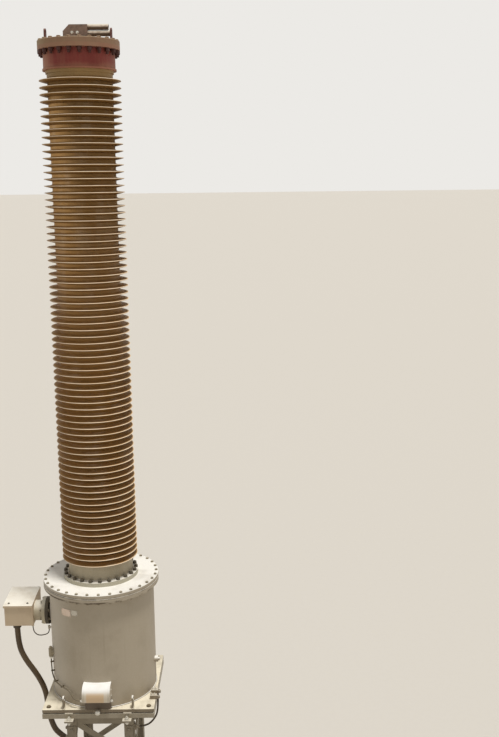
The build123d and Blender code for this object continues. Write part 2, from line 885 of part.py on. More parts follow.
# Gas density monitor: a block against the tank, a round gauge and an open-bottomed sheet hood
monitor_bottom = plate_top + monitor_block_height
monitor_top = monitor_bottom + monitor_height
hood_front_y = -half_plate - hood_projection
hood_arc = hood_crown_radius - hood_metal
recess_y = hood_front_y + hood_recess

union_y = union_margin + union_radius - half_plate
union_z = plate_top + union_height
union_left = -monitor_block_width / 2 - union_length
with BuildPart() as monitor_block:
    with BuildSketch(Plane.XY.offset(plate_top)):
        with Locations((0, -half_plate + monitor_block_front_margin)):
            Rectangle(monitor_block_width, monitor_block_depth, align=(Align.CENTER, Align.MIN))
        Circle(tank_radius + curve_gap, mode=Mode.SUBTRACT)
    extrude(amount=monitor_block_height)
    with BuildSketch(Plane.YZ.offset(union_left)):
        with Locations((union_y, union_z)):
            Circle(union_radius)
    extrude(amount=union_length)

monitor_block.part.label = "monitor_block"
export_step(monitor_block.part, "parts/monitor_block.step")

with BuildPart() as monitor_hood:
    with BuildSketch(Plane.YZ.offset(-hood_width / 2)) as hood_section:
        with Locations((hood_front_y, monitor_bottom)):
            Rectangle(-hood_front_y, monitor_height, align=(Align.MIN, Align.MIN))
        crown = hood_section.vertices().sort_by_distance((hood_front_y, monitor_top))[0]
        fillet(crown, hood_crown_radius)
    extrude(amount=hood_width)
    with BuildSketch(Plane.YZ.offset(hood_metal - hood_width / 2)) as hollow_section:
        with Locations((recess_y, monitor_bottom)):
            Rectangle(-hood_front_y, monitor_height - hood_metal, align=(Align.MIN, Align.MIN))
        crown = hollow_section.vertices().sort_by_distance((recess_y, monitor_top - hood_metal))[0]
        fillet(crown, hood_arc)
    extrude(amount=hood_width - 2 * hood_metal, mode=Mode.SUBTRACT)
    with BuildSketch(Plane.XY.offset(plate_top)):
        Circle(tank_radius + curve_gap)
    extrude(amount=tank_height, mode=Mode.SUBTRACT)

monitor_hood.part.label = "monitor_hood"
export_step(monitor_hood.part, "parts/monitor_hood.step")

# Ball stud for a portable earth on the front edge of the plate
ball_z = plate_bottom + plate_thickness / 2
with BuildPart() as earthing_ball:
    with BuildSketch(Plane.XZ.offset(half_plate)):
        with Locations((0, ball_z)):
            Circle(ball_stem_radius)
    extrude(amount=ball_stem_length + ball_radius / 2)
    with Locations((0, -half_plate - ball_stem_length - ball_radius / 2, ball_z)):
        Sphere(ball_radius)

earthing_ball.part.label = "earthing_ball"
export_step(earthing_ball.part, "parts/earthing_ball.step")

# Gas gauge under the hood, on a short neck from the tank wall
gauge_back = -tank_radius - gauge_neck_length
with BuildPart() as gas_monitor:
    with BuildSketch(Plane.XZ.offset(-gauge_back)):
        with Locations((0, monitor_bottom + gauge_height)):
            Circle(gauge_radius)
    extrude(amount=gauge_depth)
    with BuildSketch(Plane.XZ.offset(-gauge_back)):
        with Locations((0, monitor_bottom + gauge_height)):
            Circle(gauge_neck_radius)
    extrude(amount=-2 * gauge_neck_length)
    with BuildSketch(Plane.XY.offset(plate_top)):
        Circle(tank_radius + curve_gap)
    extrude(amount=tank_height, mode=Mode.SUBTRACT)

gas_monitor.part.label = "gas_monitor"
export_step(gas_monitor.part, "parts/gas_monitor.step")

# Gas valve on the tank's left, with its boss, upright body and cap
valve_middle = plate_top + valve_height
line_radius = tank_radius + valve_line_gap
valve_at = on_tank(valve_angle, line_radius, valve_middle - valve_body_length / 2)
with BuildPart() as gas_valve:
    with Locations(valve_at):
        Cylinder(valve_body_radius, valve_body_length, align=(Align.CENTER, Align.CENTER, Align.MIN))
        Cylinder(
            valve_cap_radius,
            valve_body_length + valve_cap_length,
            align=(Align.CENTER, Align.CENTER, Align.MIN),
        )
    with BuildSketch(Plane(on_tank(valve_angle, line_radius, valve_middle), z_dir=on_tank(valve_angle, 1, 0))):
        Circle(valve_boss_radius)
    extrude(amount=-2 * valve_line_gap)
    with BuildSketch(Plane.XY.offset(plate_top)):
        Circle(tank_radius + curve_gap)
    extrude(amount=tank_height, mode=Mode.SUBTRACT)

gas_valve.part.label = "gas_valve"
export_step(gas_valve.part, "parts/gas_valve.step")

# Gas tube from the valve down and round the tank to a union on the side of the monitor's block
gas_tube_route = [
    on_tank(valve_angle, line_radius, valve_middle - valve_body_length / 2),
    on_tank(valve_angle, line_radius, plate_top + 230.0),
    on_tank(valve_angle + 2.0, line_radius, plate_top + 165.0),
    on_tank(valve_angle + 11.0, line_radius, plate_top + 133.0),
    on_tank(valve_angle + 24.0, line_radius, plate_top + 128.0),
    on_tank(valve_angle + 36.0, line_radius, plate_top + 122.0),
    (union_left - 66.0, union_y, union_z),
    (union_left, union_y, union_z),
]
with BuildPart() as gas_tube:
    with BuildLine() as gas_path:
        FilletPolyline(*gas_tube_route, radius=bend_radii(gas_tube_route))
    with BuildSketch(Plane(gas_path.line @ 0, z_dir=gas_path.line % 0)):
        Circle(gas_tube_radius)
    sweep()

gas_tube.part.label = "gas_tube"
export_step(gas_tube.part, "parts/gas_tube.step")
report_cord("gas_tube", gas_tube_route, gas_tube_radius, gas_tube.part)

# Bosses on the tank wall: a plugged one on the right, and the bonding lug on the left
bond_lug_x = -tank_radius - bond_stud_radius - clamp_ring_lift
bond_lug_bottom = box_bottom - bond_drop
with BuildPart() as tank_bosses:
    with BuildSketch(Plane.YZ.offset(tank_radius - side_boss_length)):
        with Locations((side_boss_y, plate_top + side_boss_height)):
            Circle(side_boss_radius)
    extrude(amount=2 * side_boss_length)
    with BuildSketch(Plane.YZ.offset(tank_radius)):
        with Locations((side_boss_y, plate_top + side_boss_height)):
            Circle(side_plug_radius)
    extrude(amount=side_boss_length + side_plug_length)
    with Locations((bond_lug_x, bond_y, bond_lug_bottom)):
        Cylinder(bond_stud_radius, bond_stud_length, align=(Align.CENTER, Align.CENTER, Align.MIN))
    with BuildSketch(Plane.YZ.offset(bond_lug_x)):
        with Locations((bond_y, bond_lug_bottom + bond_stud_length / 2)):
            Circle(bond_neck_radius)
    extrude(amount=2 * bond_stud_radius + 2 * bond_stud_length)
    with BuildSketch(Plane.XY.offset(plate_top)):
        Circle(tank_radius + curve_gap)
    extrude(amount=tank_height, mode=Mode.SUBTRACT)

tank_bosses.part.label = "tank_bosses"
export_step(tank_bosses.part, "parts/tank_bosses.step")

# Bonding wire: a short loop from the box down and back up to the tank
bond_start_x = box_right - bond_inset
bond_start_z = box_bottom - bond_stud_length
bond_wire_route = [
    (bond_start_x, bond_y, bond_start_z),
    (bond_start_x, bond_y, bond_start_z - 40.0),
    (bond_start_x + 24.0, bond_y, bond_start_z - 74.0),
    (bond_start_x + 60.0, bond_y, bond_start_z - 82.0),
    (bond_lug_x - 16.0, bond_y, bond_start_z - 70.0),
    (bond_lug_x, bond_y, bond_start_z - 46.0),
    (bond_lug_x, bond_y, bond_lug_bottom),
]
with BuildPart() as bond_wire:
    with BuildLine() as bond_path:
        FilletPolyline(*bond_wire_route, radius=bend_radii(bond_wire_route))
    with BuildSketch(Plane(bond_path.line @ 0, z_dir=bond_path.line % 0)):
        Circle(bond_wire_radius)
    sweep()

bond_wire.part.label = "bond_wire"
export_step(bond_wire.part, "parts/bond_wire.step")
report_cord("bond_wire", bond_wire_route, bond_wire_radius, bond_wire.part)

# Earth clamps on the right edge of the plate, and the lug on the front right leg
lead_x = half_plate + earth_lead_radius + earth_lead_gap
lug_face_x = half_width + splice_plate_thickness + lug_pad_thickness
lug_y = leg_flange / 2 - half_depth
lug_z = leg_top - earth_lug_drop
with BuildPart() as earth_clamps:
    for clamp_y in clamp_ys:
        with Locations((lead_x, clamp_y, plate_top)):
            Box(clamp_length, clamp_width, clamp_height, align=(Align.MAX, Align.CENTER, Align.MIN))
        with Locations((lead_x, clamp_y, plate_top + clamp_ring_lift)):
            Cylinder(clamp_ring_radius, clamp_ring_height, align=(Align.CENTER, Align.CENTER, Align.MIN))
        with Locations((lead_x, clamp_y, plate_top)):
            Cylinder(
                earth_lead_radius + curve_gap,
                clamp_height,
                align=(Align.CENTER, Align.CENTER, Align.MIN),
                mode=Mode.SUBTRACT,
            )
    with Locations((lug_face_x, lug_y, lug_z)):
        Box(lug_pad_thickness, lug_pad_side, lug_pad_side, align=(Align.MAX, Align.CENTER, Align.CENTER))
    with BuildSketch(Plane.YZ.offset(lug_face_x)):
        with Locations((lug_y, lug_z)):
            Circle(lug_barrel_radius)
    extrude(amount=lug_barrel_length)
    with BuildSketch(Plane.YZ.offset(lug_face_x + lug_barrel_length)):
        with Locations((lug_y, lug_z)):
            Circle(earth_lead_radius + curve_gap)
    extrude(amount=-lug_barrel_depth, mode=Mode.SUBTRACT)

earth_clamps.part.label = "earth_clamps"
export_step(earth_clamps.part, "parts/earth_clamps.step")

# Earth lead from the front clamp, down past the plate's edge, and in to the lug
lead_y = clamp_ys[0]
lead_end_x = lug_face_x + lug_barrel_length - lug_barrel_depth + curve_gap
earth_lead_route = [
    (lead_x, lead_y, plate_top + clamp_height + bar_end_gap),
    (lead_x, lead_y, plate_top - 95.0),
    (lead_x - 29.0, lead_y - 18.0, plate_top - 163.0),
    (lead_end_x + 75.0, lug_y, lug_z),
    (lead_end_x, lug_y, lug_z),
]
with BuildPart() as earth_lead:
    with BuildLine() as lead_path:
        FilletPolyline(*earth_lead_route, radius=bend_radii(earth_lead_route))
    with BuildSketch(Plane(lead_path.line @ 0, z_dir=lead_path.line % 0)):
        Circle(earth_lead_radius)
    sweep()

earth_lead.part.label = "earth_lead"
export_step(earth_lead.part, "parts/earth_lead.step")
report_cord("earth_lead", earth_lead_route, earth_lead_radius, earth_lead.part)
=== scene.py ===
"""Looks for a high-voltage instrument transformer on a lattice pedestal, built round its CAD frame.

Lengths are in metres. The origin lies on the insulator's axis at ground level, -Y is the front.
"""
import logging
import math
from abc import ABC, abstractmethod
from dataclasses import dataclass
from enum import Enum
from itertools import product
from typing import Any, Callable, Iterable, Mapping, Sequence

import bmesh
import bpy
from mathutils import Matrix, Vector


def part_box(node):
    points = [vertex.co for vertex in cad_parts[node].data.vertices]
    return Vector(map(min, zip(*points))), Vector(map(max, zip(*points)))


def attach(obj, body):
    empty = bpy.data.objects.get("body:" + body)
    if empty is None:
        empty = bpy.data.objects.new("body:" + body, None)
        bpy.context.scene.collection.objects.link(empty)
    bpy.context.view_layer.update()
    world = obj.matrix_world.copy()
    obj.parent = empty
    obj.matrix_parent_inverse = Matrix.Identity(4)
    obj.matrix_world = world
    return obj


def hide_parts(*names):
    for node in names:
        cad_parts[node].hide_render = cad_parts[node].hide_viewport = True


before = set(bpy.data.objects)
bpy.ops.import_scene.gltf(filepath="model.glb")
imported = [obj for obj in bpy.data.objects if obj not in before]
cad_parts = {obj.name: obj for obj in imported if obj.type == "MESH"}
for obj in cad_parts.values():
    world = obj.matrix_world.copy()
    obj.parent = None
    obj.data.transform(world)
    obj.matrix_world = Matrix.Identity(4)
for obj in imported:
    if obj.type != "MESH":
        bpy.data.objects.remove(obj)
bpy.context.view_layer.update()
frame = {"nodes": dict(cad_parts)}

Shade = tuple[int, int, int]
Point = tuple[float, float, float]
Line = tuple[Sequence[Point], bool]

LOG = logging.getLogger("transformer")
BODY = "root"
FULL_TURN = 2 * math.pi
SIDES = (-1, 1)
SAND: Shade = (236, 228, 210)
FINE_DUST: Shade = (232, 224, 205)


class Way(Enum):
    """Directions in which a fastener or a face may point."""

    UP = (0.0, 0.0, 1.0)
    DOWN = (0.0, 0.0, -1.0)
    FRONT = (0.0, -1.0, 0.0)
    BACK = (0.0, 1.0, 0.0)
    LEFT = (-1.0, 0.0, 0.0)
    RIGHT = (1.0, 0.0, 0.0)


def linear(shade: Shade) -> tuple[float, float, float, float]:
    """Turn a colour written as 0 to 255 into the linear colour that a shader takes.

    Args:
        shade: red, green and blue as they look on a screen.

    Returns:
        The linear colour with full alpha.
    """
    parts = [value / 255 for value in shade]
    red, green, blue = (
        part / 12.92 if part <= 0.04045 else ((part + 0.055) / 1.055) ** 2.4 for part in parts
    )
    return (red, green, blue, 1.0)


def placed(name: str, data: bpy.types.ID) -> bpy.types.Object:
    """Put a new object at the scene's origin.

    Args:
        name: the object's name.
        data: its mesh, curve, camera or lamp.

    Returns:
        The object.
    """
    thing = bpy.data.objects.new(name, data)
    bpy.context.scene.collection.objects.link(thing)
    return thing


def settled(piece: bpy.types.Object) -> bpy.types.Mesh:
    """A piece's evaluated shape as a plain mesh."""
    graph = bpy.context.evaluated_depsgraph_get()
    return bpy.data.meshes.new_from_object(piece.evaluated_get(graph), depsgraph=graph)


def on_circle(radius: float, turn: float, height: float) -> Point:
    """A place on a circle round the insulator's axis, the turn in radians."""
    return (radius * math.cos(turn), radius * math.sin(turn), height)


def even_turns(count: int) -> list[float]:
    """Evenly spaced turns of a full circle, in radians."""
    return [FULL_TURN * step / count for step in range(count)]


def operator(operation: str, number_first: bool = False) -> Callable[["Wire", "Wire | float"], "Wire"]:
    """Make a method of Wire that adds a Math node.

    Args:
        operation: what the node does.
        number_first: whether the wire is the second of the two.

    Returns:
        The method.
    """

    def apply(wire: "Wire", other: "Wire | float") -> "Wire":
        """Result of the operation on both."""
        first, second = (other, wire) if number_first else (wire, other)
        return wire.graph.math(operation, first, second)

    return apply


class Wire:
    """One output of a node. Arithmetic on it adds Math nodes, and a comparison gives 1 or 0."""

    def __init__(self, graph: "Graph", socket: bpy.types.NodeSocket) -> None:
        """Keep the graph and the socket that this wire comes from."""
        self.graph = graph
        self.socket = socket

    __add__, __radd__ = operator("ADD"), operator("ADD", number_first=True)
    __sub__, __rsub__ = operator("SUBTRACT"), operator("SUBTRACT", number_first=True)
    __mul__, __rmul__ = operator("MULTIPLY"), operator("MULTIPLY", number_first=True)
    __truediv__ = operator("DIVIDE")
    __gt__, __lt__ = operator("GREATER_THAN"), operator("LESS_THAN")


class Graph:
    """A node tree, shader or geometry, to which every node is added in one way."""

    def __init__(self, tree: bpy.types.NodeTree) -> None:
        """Keep the tree that the nodes go into."""
        self.tree = tree

    def node(
        self,
        kind: str,
        settings: Mapping[str, Any] | None = None,
        values: Mapping[Any, Any] | None = None,
    ) -> bpy.types.Node:
        """Add a node.

        Args:
            kind: the node's type name.
            settings: properties of the node, which are set first.
            values: for each input, by name or number, a value or a wire.

        Returns:
            The new node.
        """
        made = self.tree.nodes.new(kind)
        for key, value in (settings or {}).items():
            setattr(made, key, value)
        for key, value in (values or {}).items():
            self.feed(made.inputs[key], value)
        return made

    def feed(self, socket: bpy.types.NodeSocket, value: Any) -> None:
        """Link a wire to a socket, or set the socket's value.

        Args:
            socket: a node's input.
            value: a wire or a plain value.
        """
        if isinstance(value, Wire):
            self.tree.links.new(value.socket, socket)
        else:
            socket.default_value = value

    def wire(self, node: bpy.types.Node, output: int | str = 0) -> Wire:
        """One output of a node as a wire."""
        return Wire(self, node.outputs[output])

    def out(
        self,
        kind: str,
        values: Mapping[Any, Any] | None = None,
        settings: Mapping[str, Any] | None = None,
        output: int | str = 0,
    ) -> Wire:
        """Add a node and take one of its outputs as a wire."""
        return self.wire(self.node(kind, settings, values), output)

    def math(self, operation: str, first: Wire | float, second: Wire | float = 0.0) -> Wire:
        """Result of a Math node."""
        return self.out("ShaderNodeMath", {0: first, 1: second}, {"operation": operation})

    def vector(self, x: Wire | float, y: Wire | float, z: Wire | float) -> Wire:
        """Three numbers as one vector."""
        return self.out("ShaderNodeCombineXYZ", {"X": x, "Y": y, "Z": z})

    def parts(self, vector: Wire) -> tuple[Wire, Wire, Wire]:
        """A vector's three numbers."""
        split = self.node("ShaderNodeSeparateXYZ", None, {"Vector": vector})
        return self.wire(split, "X"), self.wire(split, "Y"), self.wire(split, "Z")

    def span(self, value: Wire, low: float, high: float) -> Wire:
        """A value that goes smoothly from 0 at low to 1 at high, which may be below low."""
        places = {"Value": value, "From Min": low, "From Max": high}
        return self.out("ShaderNodeMapRange", places, {"interpolation_type": "SMOOTHSTEP"})


class Shader(Graph):
    """The node tree of one material, with the patterns that weathered finishes share."""

    NOISE_ROUGHNESS = 0.55
    NOISE_MIDDLE = 0.5

    def __init__(self, name: str) -> None:
        """Start an empty material.

        Args:
            name: the material's name.
        """
        self.material = bpy.data.materials.new(name)
        self.material.use_nodes = True
        super().__init__(self.material.node_tree)
        self.tree.nodes.clear()
        self.place = self.out("ShaderNodeTexCoord", output="Object")
        self.across, self.deep, self.height = self.parts(self.place)
        self.facing = self.parts(self.out("ShaderNodeNewGeometry", output="Normal"))[2]

    def noise(
        self,
        scale: float,
        detail: float = 3.0,
        stretch: Point = (1.0, 1.0, 1.0),
        shift: float = 0.0,
        band: tuple[float, float] | None = None,
    ) -> Wire:
        """Soft noise in the object's own place.

        Args:
            scale: blotches per metre, roughly.
            detail: how many finer layers are added.
            stretch: factors on the three directions, so that 0.05 up makes long upright streaks.
            shift: a distance that gives another part of the pattern.
            band: the values that become 0 and 1, where only the pattern's patches are wanted.

        Returns:
            A value from 0 to 1.
        """
        moved = {"Vector": self.place, "Location": (shift, shift, shift), "Scale": stretch}
        mapped = self.out("ShaderNodeMapping", moved)
        values = {"Vector": mapped, "Scale": scale, "Detail": detail, "Roughness": self.NOISE_ROUGHNESS}
        soft = self.out("ShaderNodeTexNoise", values)
        return self.span(soft, *band) if band else soft

    def swayed(self, value: Wire | float, noise: Wire, width: float) -> Wire:
        """A value that noise pushes up and down within the given width."""
        return value + (noise - self.NOISE_MIDDLE) * width

    def cells(self, scale: float) -> Wire:
        """Random value for each crystal-like cell, from 0 to 1."""
        values = {"Vector": self.place, "Scale": scale}
        return self.parts(self.out("ShaderNodeTexVoronoi", values, output="Color"))[0]

    def mix(self, share: Wire | float, first: Wire | Shade, second: Wire | Shade) -> Wire:
        """Blend two colours.

        Args:
            share: 0 gives the first and 1 the second.
            first: a colour or a wire.
            second: a colour or a wire.

        Returns:
            The blended colour.
        """
        ends = [value if isinstance(value, Wire) else linear(value) for value in (first, second)]
        settings = {"data_type": "RGBA", "clamp_factor": True}
        return self.out("ShaderNodeMix", {0: share, 6: ends[0], 7: ends[1]}, settings, 2)

    def upward(self, low: float = 0.25, high: float = 0.85) -> Wire:
        """How much a face looks up, from 0 to 1."""
        return self.span(self.facing, low, high)

    def from_axis(self) -> Wire:
        """Distance from the insulator's axis."""
        return self.math("SQRT", self.across * self.across + self.deep * self.deep)

    def bump(self, height: Wire, depth: float, strength: float = 0.6) -> Wire:
        """Normal bent by a pattern of the given depth, of which the strength says how much shows."""
        values = {"Height": height, "Distance": depth, "Strength": strength}
        return self.out("ShaderNodeBump", values)

    def finish(
        self,
        colour: Wire,
        roughness: Wire | float,
        normal: Wire,
        metallic: Wire | float = 0.0,
        fixed: Mapping[str, float] | None = None,
    ) -> bpy.types.Material:
        """Join the patterns to the surface.

        Args:
            colour: what feeds Base Color.
            roughness: what feeds Roughness.
            normal: what feeds Normal.
            metallic: what feeds Metallic.
            fixed: numbers that are set on other sockets, the same all over.

        Returns:
            The finished material.
        """
        values = {"Base Color": colour, "Roughness": roughness, "Normal": normal, "Metallic": metallic}
        surface = self.out("ShaderNodeBsdfPrincipled", {**values, **(fixed or {})})
        self.node("ShaderNodeOutputMaterial", None, {"Surface": surface})
        return self.material


@dataclass(frozen=True)
class Finish(ABC):
    """A surface finish, made as a material once and shared by the pieces that have it."""

    name: str
    slot: str

    @abstractmethod
    def make(self) -> bpy.types.Material:
        """Build the material."""


@dataclass(frozen=True)
class Weathered(Finish):
    """Sun-worn paint, cast metal or plastic: dusty above, with painted sunlight on its tops, blotched,
    with runs down its sides.
    """

    colour: Shade
    # The dust colour is near white on most finishes: dust, and also painted sunlight on upward faces.
    dust: Shade
    stain: Shade
    dust_and_sunlit_share: float = 0.85
    stain_share: float = 0.45
    run_share: float = 0.3
    patch_scale: float = 5.0
    grain: float = 0.05
    roughness: float = 0.6
    metallic: float = 0.0
    relief: float = 0.0006
    relief_scale: float = 90.0

    BLOTCH_DUST = 0.3
    DARK_GRAINS = 4
    PALE_GRAINS = 3

    def make(self) -> bpy.types.Material:
        """Build the paint's blotches, runs, own marks, dust with painted sunlight on upward faces,
        speckle and orange-peel relief.

        Returns:
            The material.
        """
        shader = Shader(self.name)
        upward = shader.upward()
        blotches = shader.noise(self.patch_scale, 5.0, band=(0.42, 0.68))
        runs = shader.noise(34.0, 3.0, stretch=(1.0, 1.0, 0.035), shift=3.1, band=(0.5, 0.74))
        runs = runs * shader.noise(3.0, 2.0, shift=7.7, band=(0.4, 0.62))
        fine = shader.noise(self.relief_scale, 4.0)
        speckle = shader.noise(420.0, 2.0)
        tone = shader.mix(blotches * self.stain_share, self.colour, self.stain)
        tone = shader.mix(runs * (1 - upward) * self.run_share, tone, self.stain)
        tone = self.mark(shader, tone, fine)
        # Upward faces go towards the dust colour: real dust, and also painted sunlight on the tops.
        tone = shader.mix(upward * (self.dust_and_sunlit_share - self.BLOTCH_DUST * blotches), tone, self.dust)
        dark = shader.span(speckle, 0.56, 0.72) * self.grain * self.DARK_GRAINS
        pale = shader.span(speckle, 0.44, 0.3) * self.grain * self.PALE_GRAINS
        tone = shader.mix(dark, tone, self.stain)
        tone = shader.mix(pale, tone, self.dust)
        rough = shader.swayed(self.roughness, fine, 0.25) + upward * 0.18
        normal = shader.bump(fine + speckle * 0.3, self.relief)
        return shader.finish(tone, rough, normal, self.metallic)

    def mark(self, shader: Shader, tone: Wire, fine: Wire) -> Wire:
        """The colour so far with the marks that only some paint has, their edges broken by noise."""
        return tone


@dataclass(frozen=True)
class TankPaint(Weathered):
    """Tank paint: painted light on the left, splashed along its foot, with grime in the flange's seams
    and painted shade under the flange.
    """

    splash_from: float = 2.34
    splash_to: float = 2.46
    splash_share: float = 0.4
    lit_left_from: float = -0.16
    lit_left_to: float = -0.40
    lit_left_share: float = 0.22
    seams: tuple[tuple[float, float], ...] = ((3.2285, 0.65), (3.196, 0.95), (2.344, 0.5))
    seam_half: float = 0.013
    seam_grime_and_shade: Shade = (74, 58, 34)

    def mark(self, shader: Shader, tone: Wire, fine: Wire) -> Wire:
        """Add the painted light on the left side, the splashed foot and the seams' broken dark lines,
        which are grime and, under the flange, painted shade.

        Args:
            shader: the material being built.
            tone: its colour so far.
            fine: fine noise that breaks an edge up.

        Returns:
            The marked colour.
        """
        # Painted light: the left side is made paler, standing in for the light that falls on it.
        pale = shader.span(shader.swayed(shader.across, fine, 0.08), self.lit_left_from, self.lit_left_to)
        tone = shader.mix(pale * self.lit_left_share, tone, self.dust)
        splash = shader.span(shader.swayed(shader.height, fine, 0.06), self.splash_to, self.splash_from)
        tone = shader.mix(splash * self.splash_share, tone, self.stain)
        # Broken dark lines along the seams: grime, and along the flange's underside also painted shade.
        for height, share in self.seams:
            off = shader.math("ABSOLUTE", shader.height - height)
            near = shader.span(shader.swayed(off, fine, 0.008), self.seam_half, self.seam_half * 0.3)
            patchy = shader.noise(13.0, 4.0, shift=height) - shader.across * 0.25
            broken = shader.span(patchy, 0.36, 0.60)
            tone = shader.mix(near * broken * share, tone, self.seam_grime_and_shade)
        return tone


@dataclass(frozen=True)
class FlangedMetal(Weathered):
    """Cast fitting whose flange has a pale edge below its collar."""

    edge: Shade = (186, 180, 160)
    edge_low: float = 3.288
    edge_high: float = 3.297

    def mark(self, shader: Shader, tone: Wire, fine: Wire) -> Wire:
        """Add the flange's pale edge."""
        return shader.mix(shader.span(shader.height, self.edge_high, self.edge_low), tone, self.edge)


@dataclass(frozen=True)
class HoodPaint(Weathered):
    """Rain hood's paint: white above from dust and painted sunlight, painted shade on its ends, and a
    tan panel across the front.
    """

    panel: Shade = (206, 178, 142)
    panel_left: float = -0.066
    panel_right: float = 0.056
    panel_top: float = 2.516
    fade: float = 0.008
    shaded_end_from: float = 0.083
    shaded_end_to: float = 0.088
    shaded_end_share: float = 0.3
    end_shadow_tone: Shade = (150, 142, 126)

    def mark(self, shader: Shader, tone: Wire, fine: Wire) -> Wire:
        """Add the tan panel across the front and the painted shade on the ends.

        Args:
            shader: the material being built.
            tone: its colour so far.
            fine: fine noise that breaks an edge up.

        Returns:
            The marked colour.
        """
        across = shader.span(shader.across, self.panel_left - self.fade, self.panel_left)
        across = across * shader.span(shader.across, self.panel_right + self.fade, self.panel_right)
        height = shader.swayed(shader.height, fine, 0.004)
        lower = shader.span(height, self.panel_top, self.panel_top - self.fade)
        tone = shader.mix(across * lower, tone, self.panel)
        # Painted shade: the hood's rounded ends are made greyer, standing in for the shade on them.
        ends = shader.span(shader.math("ABSOLUTE", shader.across), self.shaded_end_from, self.shaded_end_to)
        return shader.mix(ends * self.shaded_end_share, tone, self.end_shadow_tone)


@dataclass(frozen=True)
class Galvanised(Finish):
    """Hot-dip zinc on rolled steel: faint crystal spangle, dull patches and brown runs."""

    colour: Shade
    pale: Shade
    rust: Shade = (128, 96, 66)
    dust_and_sunlit_share: float = 0.7
    spangle_scale: float = 55.0
    rust_share: float = 0.28

    SPANGLE_SHARE = 0.22
    DULL_SHARE = 0.35

    def make(self) -> bpy.types.Material:
        """Build the spangle, the dull patches, the rust runs, and the dust with painted sunlight on
        upward faces.

        Returns:
            The material.
        """
        shader = Shader(self.name)
        upward = shader.upward()
        spangle = shader.cells(self.spangle_scale)
        dull = shader.noise(9.0, 5.0, band=(0.4, 0.66))
        fine = shader.noise(160.0, 3.0)
        runs = shader.noise(48.0, 3.0, stretch=(1.0, 1.0, 0.05), shift=1.9, band=(0.56, 0.78))
        runs = runs * shader.noise(2.4, 2.0, shift=4.3, band=(0.45, 0.7))
        tone = shader.mix(spangle * self.SPANGLE_SHARE + dull * self.DULL_SHARE, self.colour, self.pale)
        tone = shader.mix(runs * self.rust_share, tone, self.rust)
        # Upward faces go towards sand: dust, and also painted sunlight on the tops.
        tone = shader.mix(upward * self.dust_and_sunlit_share, tone, SAND)
        rough = shader.swayed(0.5 + dull * 0.2, spangle, 0.14) + upward * 0.15
        normal = shader.bump(fine + spangle * 0.4, 0.0005)
        return shader.finish(tone, rough, normal, 0.35 - upward * 0.3)


@dataclass(frozen=True)
class SandCast(Finish):
    """Concrete or rough casting: sandy grain, pores, pale trowel marks and a damp-stained foot."""

    colour: Shade
    pale: Shade
    pore: Shade
    stained_to: float = 0.12

    CLOUD_SHARE = 0.6
    STAIN_SHARE = 0.45
    PORE_SHARE = 0.8
    SAND_SHARE = 0.3
    DUST_SHARE = 0.4

    def make(self) -> bpy.types.Material:
        """Build the sand, the pores and the stain along the ground.

        Returns:
            The material.
        """
        shader = Shader(self.name)
        upward = shader.upward()
        clouds = shader.noise(6.0, 6.0, band=(0.35, 0.68))
        sand = shader.noise(240.0, 4.0)
        pores = shader.noise(70.0, 2.0, shift=2.2, band=(0.66, 0.74))
        foot = shader.span(shader.swayed(shader.height, clouds, 0.1), self.stained_to, 0.0)
        tone = shader.mix(clouds * self.CLOUD_SHARE, self.colour, self.pale)
        tone = shader.mix(foot * self.STAIN_SHARE, tone, self.pore)
        tone = shader.mix(pores * self.PORE_SHARE, tone, self.pore)
        tone = shader.mix(shader.span(sand, 0.5, 0.75) * self.SAND_SHARE, tone, self.pore)
        tone = shader.mix(upward * self.DUST_SHARE, tone, self.pale)
        relief = sand * 0.4 + clouds * 0.6 - pores * 1.2
        return shader.finish(tone, shader.swayed(0.9, sand, 0.15), shader.bump(relief, 0.0022, 0.8))


